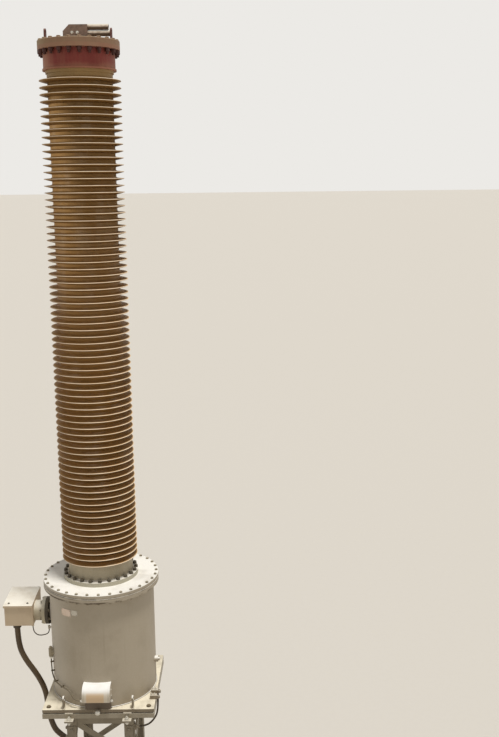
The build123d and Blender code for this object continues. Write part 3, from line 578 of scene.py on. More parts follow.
@dataclass(frozen=True)
class BrownGlaze(Finish):
    """Brown glaze: dusty tops, pale worn rims with a painted highlight, painted shade on the undersides,
    darker towards the top, with painted light on the left and painted shade on the right.
    """

    core: Shade
    top: Shade
    under: Shade
    rim: Shade
    rim_from: float
    rim_to: float
    side: float = 0.28
    middle: float = 0.05
    darker_top_from: float = 5.2
    darker_top_to: float = 6.9

    DUST_SHARE = 0.9
    SHADED_UNDER_SHARE = 0.85
    WORN_SHARE = 0.35
    BAND_SHARE = 0.25
    LIT_LEFT_SHARE = 0.3
    SHADED_RIGHT_SHARE = 0.18
    DARKER_TOP_SHARE = 0.35
    SPECK_SHARE = 0.25

    def make(self) -> bpy.types.Material:
        """Build the glaze by place on the insulator and by which way a face looks.

        Returns:
            The material.
        """
        shader = Shader(self.name)
        upward = shader.upward(-0.1, 0.7)
        # Painted shade: faces that look down are made darker, standing in for the shade under the sheds.
        shaded_underside = shader.span(shader.facing, -0.1, -0.7)
        speckle = shader.noise(190.0, 3.0)
        bands = shader.noise(1.0, 3.0, stretch=(0.2, 0.2, 16.0), band=(0.4, 0.7))
        around = shader.noise(9.0, 4.0, stretch=(1.0, 1.0, 0.35), shift=5.0)
        # Pale rims: worn glaze, and also a painted highlight where the rim edge catches the light.
        worn = shader.span(shader.swayed(shader.from_axis(), around, 0.004), self.rim_from, self.rim_to)
        # Painted light and shade: the left is made paler and the right darker.
        left = shader.span(shader.across, self.middle, -self.side)
        right = shader.span(shader.across, self.middle, self.side)
        # Darker towards the top.
        darker_top = shader.span(shader.height, self.darker_top_from, self.darker_top_to)
        tone = shader.mix(upward * self.DUST_SHARE, self.core, self.top)
        tone = shader.mix(shader.span(around, 0.45, 0.72) * upward * self.WORN_SHARE, tone, self.rim)
        tone = shader.mix(shaded_underside * self.SHADED_UNDER_SHARE, tone, self.under)
        tone = shader.mix(bands * self.BAND_SHARE, tone, self.under)
        tone = shader.mix(left * self.LIT_LEFT_SHARE, tone, self.top)
        tone = shader.mix(right * self.SHADED_RIGHT_SHARE, tone, self.under)
        tone = shader.mix(darker_top * self.DARKER_TOP_SHARE, tone, self.under)
        tone = shader.mix(worn * (1 - shaded_underside), tone, self.rim)
        tone = shader.mix(shader.span(speckle, 0.58, 0.75) * self.SPECK_SHARE, tone, self.rim)
        rough = shader.swayed(0.5 + upward * 0.2 + worn * 0.2, speckle, 0.2)
        normal = shader.bump(speckle + around * 0.5, 0.0005)
        sheen = {"Coat Weight": 0.05, "Coat Roughness": 0.4, "Specular IOR Level": 0.3}
        return shader.finish(tone, rough, normal, 0.0, sheen)


@dataclass(frozen=True)
class FadedRed(Finish):
    """Red paint of the head, burnt to maroon, faded to tan towards its sides and along its foot."""

    colour: Shade
    tan: Shade
    dust: Shade
    deep: Shade = (86, 36, 30)
    fades: tuple[tuple[float, float, float], ...] = ()
    brown_above: tuple[float, float, Shade] | None = None
    tan_below: tuple[float, float, float] | None = None

    PATCH_SHARE = 0.3
    RUN_SHARE = 0.18
    DUST_SHARE = 0.75

    def make(self) -> bpy.types.Material:
        """Build the fades, chalky patches, runs and dust on top.

        Returns:
            The material.
        """
        shader = Shader(self.name)
        upward = shader.upward()
        patches = shader.noise(5.0, 5.0, band=(0.36, 0.7))
        fine = shader.noise(150.0, 4.0)
        runs = shader.noise(46.0, 3.0, stretch=(1.0, 1.0, 0.08), shift=2.4, band=(0.45, 0.75))
        tone = shader.mix(patches * self.PATCH_SHARE, self.colour, self.deep)
        for start, end, share in self.fades:
            faded = shader.span(shader.swayed(shader.across, patches, 0.05), start, end)
            tone = shader.mix(faded * share * (0.8 + 0.2 * patches), tone, self.tan)
        tone = shader.mix(runs * self.RUN_SHARE, tone, self.tan)
        if self.brown_above:
            low, high, shade = self.brown_above
            above = shader.span(shader.height, low, high)
            tone = shader.mix(above * (0.7 + 0.3 * patches), tone, shade)
        if self.tan_below:
            high, low, share = self.tan_below
            below = shader.span(shader.swayed(shader.height, patches, 0.02), high, low)
            tone = shader.mix(below * share, tone, self.tan)
        tone = shader.mix(upward * self.DUST_SHARE, tone, self.dust)
        rough = shader.swayed(0.62, fine, 0.3) + patches * 0.1
        return shader.finish(tone, rough, shader.bump(fine, 0.0005), 0.0)


@dataclass(frozen=True)
class BareMetal(Finish):
    """Turned or stamped metal with fine drawn scratches, dulled by dust and painted sunlight on top,
    with painted shade below where an under colour is given.
    """

    colour: Shade
    dull: Shade
    roughness: float = 0.35
    metallic: float = 0.85
    dust_and_sunlit_share: float = 0.35
    under: Shade | None = None

    TARNISH_SHARE = 0.6

    def make(self) -> bpy.types.Material:
        """Build the scratches, tarnish, dust and painted sunlight above and painted shade below.

        Returns:
            The material.
        """
        shader = Shader(self.name)
        upward = shader.upward()
        tarnish = shader.noise(40.0, 5.0, band=(0.38, 0.7))
        scratches = shader.noise(900.0, 2.0, stretch=(0.2, 1.0, 1.0))
        tone = shader.mix(tarnish * self.TARNISH_SHARE, self.colour, self.dull)
        tone = shader.mix(upward * self.dust_and_sunlit_share, tone, FINE_DUST)
        # Painted shade: faces that look down go towards the dark under colour.
        if self.under:
            tone = shader.mix(shader.span(shader.facing, 0.3, -0.3), tone, self.under)
        rough = shader.swayed(self.roughness + tarnish * 0.25, scratches, 0.2)
        shine = self.metallic - upward * self.dust_and_sunlit_share * 0.6 - tarnish * 0.2
        return shader.finish(tone, rough, shader.bump(scratches, 0.0002, 0.4), shine)


class Finishes:
    """Every finish on the object, each made into a material when a piece first asks for it.

    Names, slots and colours come in the order of the finish's fields.
    """

    TANK = TankPaint(
        "tank_paint", "tank_paint", (176, 164, 144), (254, 251, 243), (150, 137, 116),
        dust_and_sunlit_share=1.0, stain_share=0.3,
    )
    # Painted shade: the tank's nozzle flange is made dark brown, standing in for the cover's shadow on
    # it.
    SHADED_NOZZLE = Weathered(
        "nozzle_paint_shaded", "tank_paint", (78, 68, 52), (150, 140, 120), (54, 46, 34), dust_and_sunlit_share=0.5
    )
    NECK = Weathered(
        "neck_paint", "tank_paint", (198, 188, 164), (250, 244, 228), (160, 148, 122),
        dust_and_sunlit_share=0.9,
    )
    PLATE = Weathered(
        "plate_paint", "plate_paint", (126, 112, 92), (246, 236, 212), (96, 82, 62),
        dust_and_sunlit_share=0.95, patch_scale=9.0,
    )
    LUG = Weathered(
        "lug_paint", "plate_paint", (134, 122, 102), (250, 246, 236), (100, 88, 68), dust_and_sunlit_share=1.0
    )
    FRAME = Galvanised(
        "frame_steel", "frame_steel", (146, 136, 118), (176, 166, 148), dust_and_sunlit_share=0.8
    )
    # Painted shade: the column's galvanised steel is made darker, standing in for the shade under the
    # base plate.
    SHADED_ZINC = Galvanised("galvanised_steel", "galvanised_steel", (126, 116, 98), (164, 154, 136))
    # Painted light: the packing pads are made near white, standing in for sunlight catching them in the
    # dark gap.
    SUNLIT_PAD = Galvanised("pad_steel_sunlit", "galvanised_steel", (224, 216, 200), (240, 234, 220))
    CONCRETE = SandCast("concrete", "concrete", (198, 184, 156), (226, 214, 188), (142, 128, 102))
    FITTING = FlangedMetal(
        "fitting_metal", "fitting_metal", (180, 168, 142), (252, 248, 238), (146, 134, 108),
        dust_and_sunlit_share=0.95, grain=0.1,
    )
    GLAZE = BrownGlaze(
        "brown_glaze", "brown_glaze", (172, 128, 66), (200, 158, 100), (128, 94, 48), (252, 234, 208),
        rim_from=0.2808, rim_to=0.2846,
    )
    # Painted light: the upper fitting's metal is given a warm beige, standing in for warm light thrown
    # up from the ground.
    WARM_LIT_COLLAR = Weathered(
        "collar_metal", "collar_metal", (164, 134, 84), (196, 176, 138), (128, 102, 58),
        dust_and_sunlit_share=0.5, grain=0.1,
    )
    RED = FadedRed(
        "red_paint", "red_paint", (132, 50, 41), (164, 116, 88), (190, 150, 128),
        fades=((-0.1, -0.26, 0.85), (0.16, 0.3, 0.4)), brown_above=(7.12, 7.128, (150, 116, 90)),
        tan_below=(7.04, 6.985, 0.65),
    )
    LID = FadedRed(
        "lid_paint", "red_paint", (140, 108, 82), (156, 136, 98), (206, 184, 154), (124, 90, 70),
        fades=((-0.12, -0.3, 0.7),),
    )
    LUG_RED = FadedRed("lug_red", "red_paint", (96, 56, 50), (124, 88, 74), (150, 112, 98))
    TERMINAL = Weathered(
        "terminal_cast", "dark_cast", (136, 112, 98), (190, 168, 150), (86, 70, 60),
        dust_and_sunlit_share=0.5, stain_share=0.7, patch_scale=22.0, grain=0.2, relief=0.0012,
        relief_scale=140.0,
    )
    # The monitor block's dark colour is partly painted shade, standing in for the shade under the rain
    # hood.
    SHADED_CAST = Weathered(
        "dark_cast", "dark_cast", (104, 90, 74), (168, 152, 130), (70, 58, 46),
        dust_and_sunlit_share=0.5, relief=0.0012, relief_scale=140.0,
    )
    SLEEVE = BareMetal(
        "sleeve_metal", "sleeve_metal", (214, 198, 180), (170, 148, 128),
        roughness=0.5, metallic=0.25, dust_and_sunlit_share=0.9, under=(92, 74, 60),
    )
    BOX = Weathered(
        "box_paint", "box_paint", (200, 180, 152), (254, 248, 234), (176, 154, 126),
        dust_and_sunlit_share=1.0, patch_scale=8.0,
    )
    CONDUIT = Weathered(
        "conduit_plastic", "conduit_plastic", (96, 78, 54), (160, 138, 104), (60, 48, 34),
        dust_and_sunlit_share=0.35, grain=0.1,
    )
    DARK = Weathered(
        "dark_plastic", "dark_plastic", (78, 66, 50), (140, 124, 100), (50, 42, 32), dust_and_sunlit_share=0.4
    )
    HOOD = HoodPaint(
        "hood_paint", "hood_paint", (208, 196, 176), (255, 254, 250), (188, 172, 150),
        dust_and_sunlit_share=1.0, stain_share=0.3,
    )
    GAUGE = BareMetal("gauge_metal", "gauge_metal", (150, 146, 136), (110, 104, 92))
    BRIGHT = BareMetal(
        "bright_steel", "bright_steel", (222, 218, 208), (160, 154, 142),
        roughness=0.3, metallic=0.7,
    )
    CLAMP = Galvanised(
        "clamp_steel", "bright_steel", (128, 116, 98), (168, 156, 136), dust_and_sunlit_share=0.6
    )
    VALVE = Weathered(
        "valve_metal", "brass_metal", (174, 162, 138), (220, 208, 184), (112, 100, 78),
        dust_and_sunlit_share=0.7, grain=0.1,
    )
    # The gas tube is darker than the tank paint, partly as painted shade from the shadow it runs
    # through.
    SHADED_TUBE = Weathered(
        "tube_metal", "tube_metal", (112, 102, 84), (138, 126, 104), (88, 78, 60),
        dust_and_sunlit_share=0.4, grain=0.1,
    )
    SHEATH = Weathered(
        "brown_sheath", "black_sheath", (66, 54, 40), (128, 112, 88), (44, 36, 28),
        dust_and_sunlit_share=0.3, roughness=0.5,
    )
    BOLT = BareMetal(
        "dark_bolt", "dark_cast", (84, 76, 60), (56, 48, 38),
        roughness=0.5, metallic=0.4, dust_and_sunlit_share=0.2,
    )
    FLAT_BOLT = Weathered(
        "flat_bolt", "plate_paint", (84, 70, 50), (150, 136, 108), (64, 52, 38), dust_and_sunlit_share=0.6
    )
    CLIP = Weathered(
        "clip_metal", "tube_metal", (84, 74, 56), (150, 138, 112), (60, 52, 40), dust_and_sunlit_share=0.4
    )
    COVER_BOLT = Weathered(
        "cover_bolt", "tank_paint", (134, 122, 98), (226, 218, 200), (90, 78, 58),
        dust_and_sunlit_share=0.6, grain=0.12,
    )
    # The nuts under the lid are dark maroon: their own colour, darkened further as painted shade from
    # the lid's flange.
    SHADED_HEAD_BOLT = FadedRed(
        "head_bolt_shaded", "red_paint", (70, 30, 20), (84, 48, 34), (120, 80, 60), (44, 20, 14)
    )
    PINK_PLATE = Weathered(
        "pink_plate", "tank_paint", (238, 216, 196), (250, 244, 234), (208, 184, 162),
        patch_scale=30.0,
    )
    GREY_PLATE = Weathered(
        "grey_plate", "gauge_metal", (214, 206, 190), (244, 240, 230), (172, 162, 144),
        patch_scale=30.0,
    )

    def __init__(self) -> None:
        """Start with no material made."""
        self.made: dict[str, bpy.types.Material] = {}

    def of(self, finish: Finish) -> bpy.types.Material:
        """The material of a finish, made the first time.

        Args:
            finish: the finish.

        Returns:
            Its material.
        """
        if finish.name not in self.made:
            self.made[finish.name] = finish.make()
        return self.made[finish.name]


class GrowthTree(Graph):
    """A Geometry Nodes tree with named inputs, which ends in plain geometry with a material."""

    def __init__(self, name: str) -> None:
        """Start a tree with its geometry and material inputs.

        Args:
            name: the tree's name.
        """
        super().__init__(bpy.data.node_groups.new(name, "GeometryNodeTree"))
        self.tree.interface.new_socket("Geometry", in_out="OUTPUT", socket_type="NodeSocketGeometry")
        self.inlet = self.node("NodeGroupInput")
        self.host = self.inlet_for("Geometry", "Geometry")
        self.dress = self.inlet_for("Material", "Material")

    def inlet_for(self, name: str, kind: str = "Float", usual: float | int | None = None) -> Wire:
        """Add a named input.

        Args:
            name: the input's name.
            kind: its socket type, such as Float or Int.
            usual: its value where a modifier sets none.

        Returns:
            The input as a wire.
        """
        socket = self.tree.interface.new_socket(name, in_out="INPUT", socket_type=f"NodeSocket{kind}")
        if usual is not None:
            socket.default_value = usual
        return self.wire(self.inlet, name)

    def join(self, parts: Iterable[Wire]) -> Wire:
        """Several geometries as one.

        Args:
            parts: what is joined.

        Returns:
            The whole.
        """
        joined = self.node("GeometryNodeJoinGeometry")
        for part in parts:
            self.tree.links.new(part.socket, joined.inputs[0])
        return self.wire(joined)

    def lifted(self, geometry: Wire, height: Wire | float) -> Wire:
        """Geometry moved up its own axis."""
        values = {"Geometry": geometry, "Translation": self.vector(0.0, 0.0, height)}
        return self.out("GeometryNodeTransform", values)

    def cylinder(self, sides: Wire | int, radius: Wire, depth: Wire) -> Wire:
        """A closed cylinder about its own middle."""
        values = {"Vertices": sides, "Radius": radius, "Depth": depth}
        return self.out("GeometryNodeMeshCylinder", values, output="Mesh")

    def ring(self, sides: Wire, radius: Wire) -> Wire:
        """A circle to sweep, or to sweep along."""
        values = {"Resolution": sides, "Radius": radius}
        return self.out("GeometryNodeCurvePrimitiveCircle", values)

    def at_points(self, points: Wire, piece: Wire, rotation: Wire | Point = (0.0, 0.0, 0.0)) -> Wire:
        """A piece repeated at each point."""
        values = {"Points": points, "Instance": piece, "Rotation": rotation}
        return self.out("GeometryNodeInstanceOnPoints", values)

    def attribute(self, name: str, kind: str) -> Wire:
        """A named attribute of the host's points."""
        settings = {"data_type": kind}
        return self.out("GeometryNodeInputNamedAttribute", {"Name": name}, settings, "Attribute")

    def close(self, geometry: Wire, smooth: bool | Wire) -> None:
        """Make instances real, set the shading and the material, and end the tree.

        Args:
            geometry: what the tree has made.
            smooth: whether its faces are shaded smooth, for all of them or face by face.
        """
        real = self.out("GeometryNodeRealizeInstances", {"Geometry": geometry})
        shaded = self.out("GeometryNodeSetShadeSmooth", {"Geometry": real, "Shade Smooth": smooth})
        dressed = self.out("GeometryNodeSetMaterial", {"Geometry": shaded, "Material": self.dress})
        self.node("NodeGroupOutput", None, {0: dressed})

    def grow(self, name: str, host: bpy.types.Mesh, sizes: Mapping[str, Any]) -> bpy.types.Object:
        """Grow a host mesh into a plain piece.

        Args:
            name: the piece's name.
            host: the points or edges that the tree starts from.
            sizes: a value for each named input that isn't left as it is.

        Returns:
            The finished piece, with no modifier left.
        """
        piece = placed(name, host)
        modifier = piece.modifiers.new("growth", "NODES")
        modifier.node_group = self.tree
        for item in self.tree.interface.items_tree:
            if item.in_out == "INPUT" and item.name in sizes:
                modifier[item.identifier] = sizes[item.name]
        mesh = settled(piece)
        piece.modifiers.remove(modifier)
        piece.data = mesh
        mesh.name = name
        return piece


class FastenerTree(GrowthTree):
    """A hexagon head or nut on its washer, at each of the host's points, along the point's own axis."""

    SEED = 7
    WASHER_SIDES = 16
    STUD_SIDES = 8
    CHAMFER = 0.13
    CHAMFER_RISE = 0.3
    MIDDLE_BAND = 0.25

    def __init__(self) -> None:
        """Build the tree."""
        super().__init__("fasteners")
        width, height = self.inlet_for("Head Width"), self.inlet_for("Head Height")
        washer = self.inlet_for("Washer Radius")
        washer_thickness = self.inlet_for("Washer Thickness", usual=0.003)
        stud, stud_length = self.inlet_for("Stud Radius"), self.inlet_for("Stud Length", usual=0.001)
        values = {"Vertices": 6, "Side Segments": 2, "Radius": width / math.sqrt(3), "Depth": height}
        hexagon = self.out("GeometryNodeMeshCylinder", values, output="Mesh")
        x, y, z = self.parts(self.out("GeometryNodeInputPosition"))
        top = z > height * self.MIDDLE_BAND
        middle = (1 - top) * (z > height * -self.MIDDLE_BAND)
        narrowed = 1 - top * self.CHAMFER
        moved = self.vector(x * narrowed, y * narrowed, z + middle * height * self.CHAMFER_RISE)
        shaped = self.out("GeometryNodeSetPosition", {"Geometry": hexagon, "Position": moved})
        head = self.lifted(shaped, washer_thickness + height / 2)
        disc = self.cylinder(self.WASHER_SIDES, washer, washer_thickness)
        flat = self.lifted(disc, washer_thickness / 2)
        pin = self.cylinder(self.STUD_SIDES, stud, stud_length)
        end = self.lifted(pin, washer_thickness + height + stud_length / 2)
        values = {"Min": 0.0, "Max": math.pi / 3, "Seed": self.SEED}
        roll = self.out("FunctionNodeRandomValue", values, output=1)
        twist = self.out("FunctionNodeAxisAngleToRotation", {"Angle": roll})
        axis = self.attribute("axis", "FLOAT_VECTOR")
        aim = self.out("FunctionNodeAlignRotationToVector", {"Vector": axis})
        turns = {"Rotation": aim, "Rotate By": twist}
        turned = self.out("FunctionNodeRotateRotation", turns, {"rotation_space": "LOCAL"})
        self.close(self.at_points(self.host, self.join((head, flat, end)), turned), smooth=False)


class PathTree(GrowthTree):
    """A tube along the host's edges whose radius rises and falls, for a conduit or a weld bead."""

    def __init__(self) -> None:
        """Build the tree."""
        super().__init__("path_tube")
        radius, ripple = self.inlet_for("Radius"), self.inlet_for("Ripple Height")
        pitch = self.inlet_for("Ripple Length", usual=0.012)
        sample = self.inlet_for("Sample Length", usual=0.006)
        sides = self.inlet_for("Sides", "Int", 8)
        line = self.out("GeometryNodeMeshToCurve", {"Mesh": self.host})
        values = {"Curve": line, "Length": sample}
        even = self.out("GeometryNodeResampleCurve", values, {"mode": "LENGTH"})
        along = self.out("GeometryNodeSplineParameter", output="Length")
        wave = self.math("SINE", along * FULL_TURN / pitch)
        swelling = 1 + wave * ripple / radius
        profile = self.ring(sides, radius)
        values = {"Curve": even, "Profile Curve": profile, "Scale": swelling, "Fill Caps": True}
        self.close(self.out("GeometryNodeCurveToMesh", values), smooth=True)


class ShedTree(GrowthTree):
    """An insulator: a core and a stack of thin sloping sheds with rounded rims."""

    ROOT = 0.004
    UNDER_FILLET = 0.009
    TOP_FILLET = 0.008
    FILLET_BEND = 0.002
    UNDER_FOOT = 0.7
    UNDER_BEND = (0.035, -0.95)
    TOP_BEND = (0.03, 0.72)
    LIP_LOW = -0.62
    LIP_HIGH = 0.85
    LIP_BEND = (0.95, 0.15)
    SEWING_GAP = 0.0002
    LEVEL = 0.9999

    def __init__(self) -> None:
        """Build the tree."""
        super().__init__("sheds")
        core, reach = self.inlet_for("Core Radius"), self.inlet_for("Shed Radius")
        pitch, count = self.inlet_for("Pitch"), self.inlet_for("Count", "Int")
        first, rise = self.inlet_for("First Rim"), self.inlet_for("Rise")
        undercut, lip = self.inlet_for("Undercut"), self.inlet_for("Lip")
        length, facets = self.inlet_for("Length"), self.inlet_for("Facets", "Int")
        rim = reach - core
        foot = undercut * -1
        inside, over, below = -self.ROOT, rise + self.ROOT, foot - self.ROOT
        under, top = (self.UNDER_FILLET, foot * self.UNDER_FOOT), (self.TOP_FILLET, rise)
        rim_low, rim_high = (rim - lip, lip * self.LIP_LOW), (rim - lip, lip * self.LIP_HIGH)
        under_bend = (self.UNDER_BEND[0], lip * self.UNDER_BEND[1])
        top_bend = (self.TOP_BEND[0], rise * self.TOP_BEND[1])
        lip_bend = (rim + lip * self.LIP_BEND[0], lip * self.LIP_BEND[1])
        # The outline runs from the core out below the shed and back above it: steps, start, bend, end.
        bends = (
            (3, (inside, below), (self.FILLET_BEND, foot - self.FILLET_BEND), under),
            (3, under, under_bend, rim_low),
            (4, rim_low, lip_bend, rim_high),
            (3, rim_high, top_bend, top),
            (3, top, (self.FILLET_BEND, rise + self.FILLET_BEND / 2), (inside, over)),
        )
        lines = []
        for steps, *corners in bends:
            start, bend, end = (self.vector(out, up, 0.0) for out, up in corners)
            values = {"Resolution": steps, "Start": start, "Middle": bend, "End": end}
            lines.append(self.out("GeometryNodeCurveQuadraticBezier", values))
        back = {"Start": self.vector(inside, over, 0.0), "End": self.vector(inside, below, 0.0)}
        lines.append(self.out("GeometryNodeCurvePrimitiveLine", back))
        ring, outline = self.ring(facets, core), self.join(lines)
        values = {"Curve": ring, "Profile Curve": outline, "Fill Caps": False}
        swept = self.out("GeometryNodeCurveToMesh", values)
        values = {"Geometry": swept, "Distance": self.SEWING_GAP}
        shed = self.out("GeometryNodeMergeByDistance", values)
        start, step = self.vector(0.0, 0.0, first), self.vector(0.0, 0.0, pitch)
        values = {"Count": count, "Start Location": start, "Offset": step}
        stack = self.out("GeometryNodeMeshLine", values)
        body = self.lifted(self.cylinder(facets, core, length), length / 2)
        whole = self.join((self.at_points(stack, shed), body))
        normal = self.parts(self.out("GeometryNodeInputNormal"))
        leaning = self.math("ABSOLUTE", normal[2]) < self.LEVEL
        self.close(self.at_points(self.host, whole), smooth=leaning)


def mesh_of(
    name: str, points: Sequence[Point | Vector], edges: Sequence[tuple[int, int]] = ()
) -> bpy.types.Mesh:
    """A mesh of points and edges, for a tree to grow from.

    Args:
        name: the mesh's name.
        points: its points.
        edges: pairs of point numbers.

    Returns:
        The mesh.
    """
    mesh = bpy.data.meshes.new(name)
    mesh.from_pydata([tuple(point) for point in points], list(edges), [])
    return mesh


@dataclass(frozen=True)
class Fastener:
    """One bolt head or nut: where its washer lies and the way that it points."""

    place: Point
    axis: Point


def round_the_axis(radius: float, height: float, count: int, phase: float, way: Way) -> list[Fastener]:
    """Fasteners on a circle round the axis, the first of them phase degrees from +X."""
    turns = [math.radians(phase + 360 * index / count) for index in range(count)]
    return [Fastener(on_circle(radius, turn, height), way.value) for turn in turns]


def four_corners(x: float, y: float, z: float, way: Way) -> list[Fastener]:
    """Fasteners at the four corners of a rectangle about the axis."""
    return [Fastener((sx * x, sy * y, z), way.value) for sx in SIDES for sy in SIDES]


class Workshop:
    """What the sub-assemblies share: the CAD nodes, the finishes and the growth trees."""

    def __init__(self) -> None:
        """Make the finishes and the trees ready."""
        self.nodes: dict[str, bpy.types.Object] = frame["nodes"]
        self.finishes = Finishes()
        self.fasteners = FastenerTree()
        self.paths = PathTree()
        self.sheds = ShedTree()

    def dress(self, finish: Finish, *names: str) -> None:
        """Give carried-over CAD nodes their finish.

        Args:
            finish: the finish.
            names: the nodes.
        """
        for name in names:
            for slot in self.nodes[name].material_slots:
                slot.material = self.finishes.of(finish)
            LOG.info("dressed %s in %s", name, finish.name)

    def add(self, piece: bpy.types.Object, finish: Finish) -> None:
        """Put a new piece on the object's body.

        Args:
            piece: the piece, already with its material.
            finish: its finish, which is not used.
        """
        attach(piece, BODY)
        LOG.info("added %s", piece.name)

    def grow(
        self,
        name: str,
        finish: Finish,
        tree: GrowthTree,
        host: bpy.types.Mesh,
        sizes: Mapping[str, float],
    ) -> bpy.types.Object:
        """Grow a host mesh in a tree, with sizes for its inputs such as head_width, and dress it."""
        values = {key.replace("_", " ").title(): value for key, value in sizes.items()}
        return tree.grow(name, host, {"Material": self.finishes.of(finish), **values})

    def bolt(self, name: str, finish: Finish, places: Sequence[Fastener], **sizes: float) -> None:
        """Make one piece of many fasteners.

        Args:
            name: the piece's name.
            finish: its finish.
            places: where each fastener lies.
            sizes: values for the tree's inputs, such as head_width.
        """
        host = mesh_of(name, [fastener.place for fastener in places])
        axes = host.attributes.new("axis", "FLOAT_VECTOR", "POINT")
        axes.data.foreach_set("vector", [number for fastener in places for number in fastener.axis])
        self.add(self.grow(name, finish, self.fasteners, host, sizes), finish)

    def bead(self, name: str, finish: Finish, lines: Sequence[Line], **sizes: float) -> None:
        """Lay tubes with a ripple along lines, such as weld beads.

        Args:
            name: the piece's name.
            finish: its finish.
            lines: each line's points, and whether it closes on itself.
            sizes: values for the tree's inputs, such as radius.
        """
        points: list[Point] = []
        edges: list[tuple[int, int]] = []
        for line, closed in lines:
            start = len(points)
            points.extend(line)
            edges.extend((start + step, start + step + 1) for step in range(len(line) - 1))
            if closed:
                edges.append((len(points) - 1, start))
        self.add(self.grow(name, finish, self.paths, mesh_of(name, points, edges), sizes), finish)


@dataclass
class Studio:
    """Camera, floor, soft light and pale surroundings."""

    camera_place: Point = (1.166, -7.048, 6.239)
    pitch: float = 11.12
    roll: float = 0.64
    lens: float = 47.22
    sensor: float = 36.0
    floor_side: float = 900.0
    floor_shade: Shade = (214, 208, 198)
    sky_shade: Shade = (236, 234, 230)
    sun_strength: float = 2.3
    sun_width: float = 10.0
    sun_from: Point = (0.793, -0.609, 4.4)
    sun_tint: Point = (1.0, 0.985, 0.955)
    glow: float = 0.34
    glow_tint: Point = (1.0, 0.985, 0.96)

    def build(self) -> None:
        """Make the camera first, then the floor, the sun and the sky."""
        self.build_camera()
        self.build_floor()
        self.build_light()
        bpy.context.scene.view_settings.view_transform = "Standard"

    def build_camera(self) -> None:
        """Place the camera as the photograph has it."""
        camera = placed("camera", bpy.data.cameras.new("camera"))
        pitch, roll = math.radians(self.pitch), math.radians(self.roll)
        level = Vector((1, 0, 0))
        up = Vector((0, math.sin(pitch), math.cos(pitch)))
        back = Vector((0, -math.cos(pitch), math.sin(pitch)))
        right = math.cos(roll) * level - math.sin(roll) * up
        upright = math.sin(roll) * level + math.cos(roll) * up
        turn = Matrix((right, upright, back)).transposed().to_4x4()
        camera.matrix_world = Matrix.Translation(self.camera_place) @ turn
        camera.data.lens = self.lens
        camera.data.sensor_width = self.sensor
        camera.data.clip_end = self.floor_side
        bpy.context.scene.camera = camera
        LOG.info("camera placed")

    def build_floor(self) -> None:
        """Lay a plain pale floor at ground level."""
        side = self.floor_side / 2
        mesh = bpy.data.meshes.new("floor")
        corners = [(-side, -side, 0), (side, -side, 0), (side, side, 0), (-side, side, 0)]
        mesh.from_pydata(corners, [], [(0, 1, 2, 3)])
        floor = placed("floor", mesh)
        shader = Shader("floor")
        fine = shader.noise(14.0, 4.0)
        tone = shader.mix(fine * 0.12, self.floor_shade, self.sky_shade)
        mesh.materials.append(shader.finish(tone, 0.95, shader.bump(fine, 0.001, 0.2)))
        LOG.info("floor laid")

    def build_light(self) -> None:
        """Hang a broad sun over the right front and fill the shade from the whole sky."""
        sun = placed("sun", bpy.data.lights.new("sun", "SUN"))
        sun.data.energy = self.sun_strength
        sun.data.angle = math.radians(self.sun_width)
        sun.data.color = self.sun_tint
        sun.rotation_mode = "QUATERNION"
        sun.rotation_quaternion = Vector(self.sun_from).to_track_quat("Z", "Y")
        world = bpy.data.worlds.new("sky")
        world.use_nodes = True
        graph = Graph(world.node_tree)
        world.node_tree.nodes.clear()
        path = graph.node("ShaderNodeLightPath")
        camera, glossy = graph.wire(path, "Is Camera Ray"), graph.wire(path, "Is Glossy Ray")
        seen = graph.math("MAXIMUM", camera, glossy)
        seen = graph.math("MAXIMUM", seen, graph.wire(path, "Is Transmission Ray"))
        shown = {"Color": linear(self.sky_shade), "Strength": 1.0}
        lighting = {"Color": (*self.glow_tint, 1.0), "Strength": self.glow}
        fill, pale = (graph.out("ShaderNodeBackground", sky) for sky in (lighting, shown))
        both = graph.out("ShaderNodeMixShader", {0: seen, 1: fill, 2: pale})
        graph.node("ShaderNodeOutputWorld", None, {"Surface": both})
        bpy.context.scene.world = world
        LOG.info("light set")


@dataclass(frozen=True)
class Cord:
    """A cord, wire or tube along one smooth spline."""

    name: str
    node: str
    finish: Finish
    radius: float
    length: float
    route: tuple[Point, ...]
    stiffness: str
    ripple: float = 0.0
    sample_length: float = 0.003
    sides: int = 18

    def spline(self, bevel: float) -> bpy.types.Object:
        """Make the cord's curve.

        Args:
            bevel: the tube's radius, or 0 for the bare line.

        Returns:
            The curve object, linked to the scene.
        """
        curve = bpy.data.curves.new(self.name, "CURVE")
        curve.dimensions = "3D"
        curve.resolution_u = 16
        line = curve.splines.new("NURBS")
        line.points.add(len(self.route) - 1)
        for point, place in zip(line.points, self.route):
            point.co = (*place, 1.0)
        line.order_u = 3
        line.use_endpoint_u = True
        curve.bevel_depth = bevel
        curve.bevel_resolution = 4
        curve.use_fill_caps = True
        return placed(self.name, curve)

    def followed(self) -> list[Vector]:
        """Follow the bare spline as Blender evaluates it.

        Returns:
            Points along it.
        """
        bare = self.spline(0.0)
        points = [vertex.co.copy() for vertex in settled(bare).vertices]
        bpy.data.objects.remove(bare)
        return points

    def build(self, shop: Workshop) -> None:
        """Make the cord and replace its CAD solid.

        Args:
            shop: the shared workshop.
        """
        path = None
        if self.ripple:
            path = self.followed()
            edges = [(step, step + 1) for step in range(len(path) - 1)]
            sizes = {
                "radius": self.radius - self.ripple,
                "ripple_height": self.ripple,
                "sample_length": self.sample_length,
                "sides": self.sides,
            }
            host = mesh_of(self.name, path, edges)
            piece = shop.grow(self.name, self.finish, shop.paths, host, sizes)
        else:
            piece = self.spline(self.radius)
            piece.data.materials.append(shop.finishes.of(self.finish))
        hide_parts(self.node)
        shop.add(piece, self.finish)


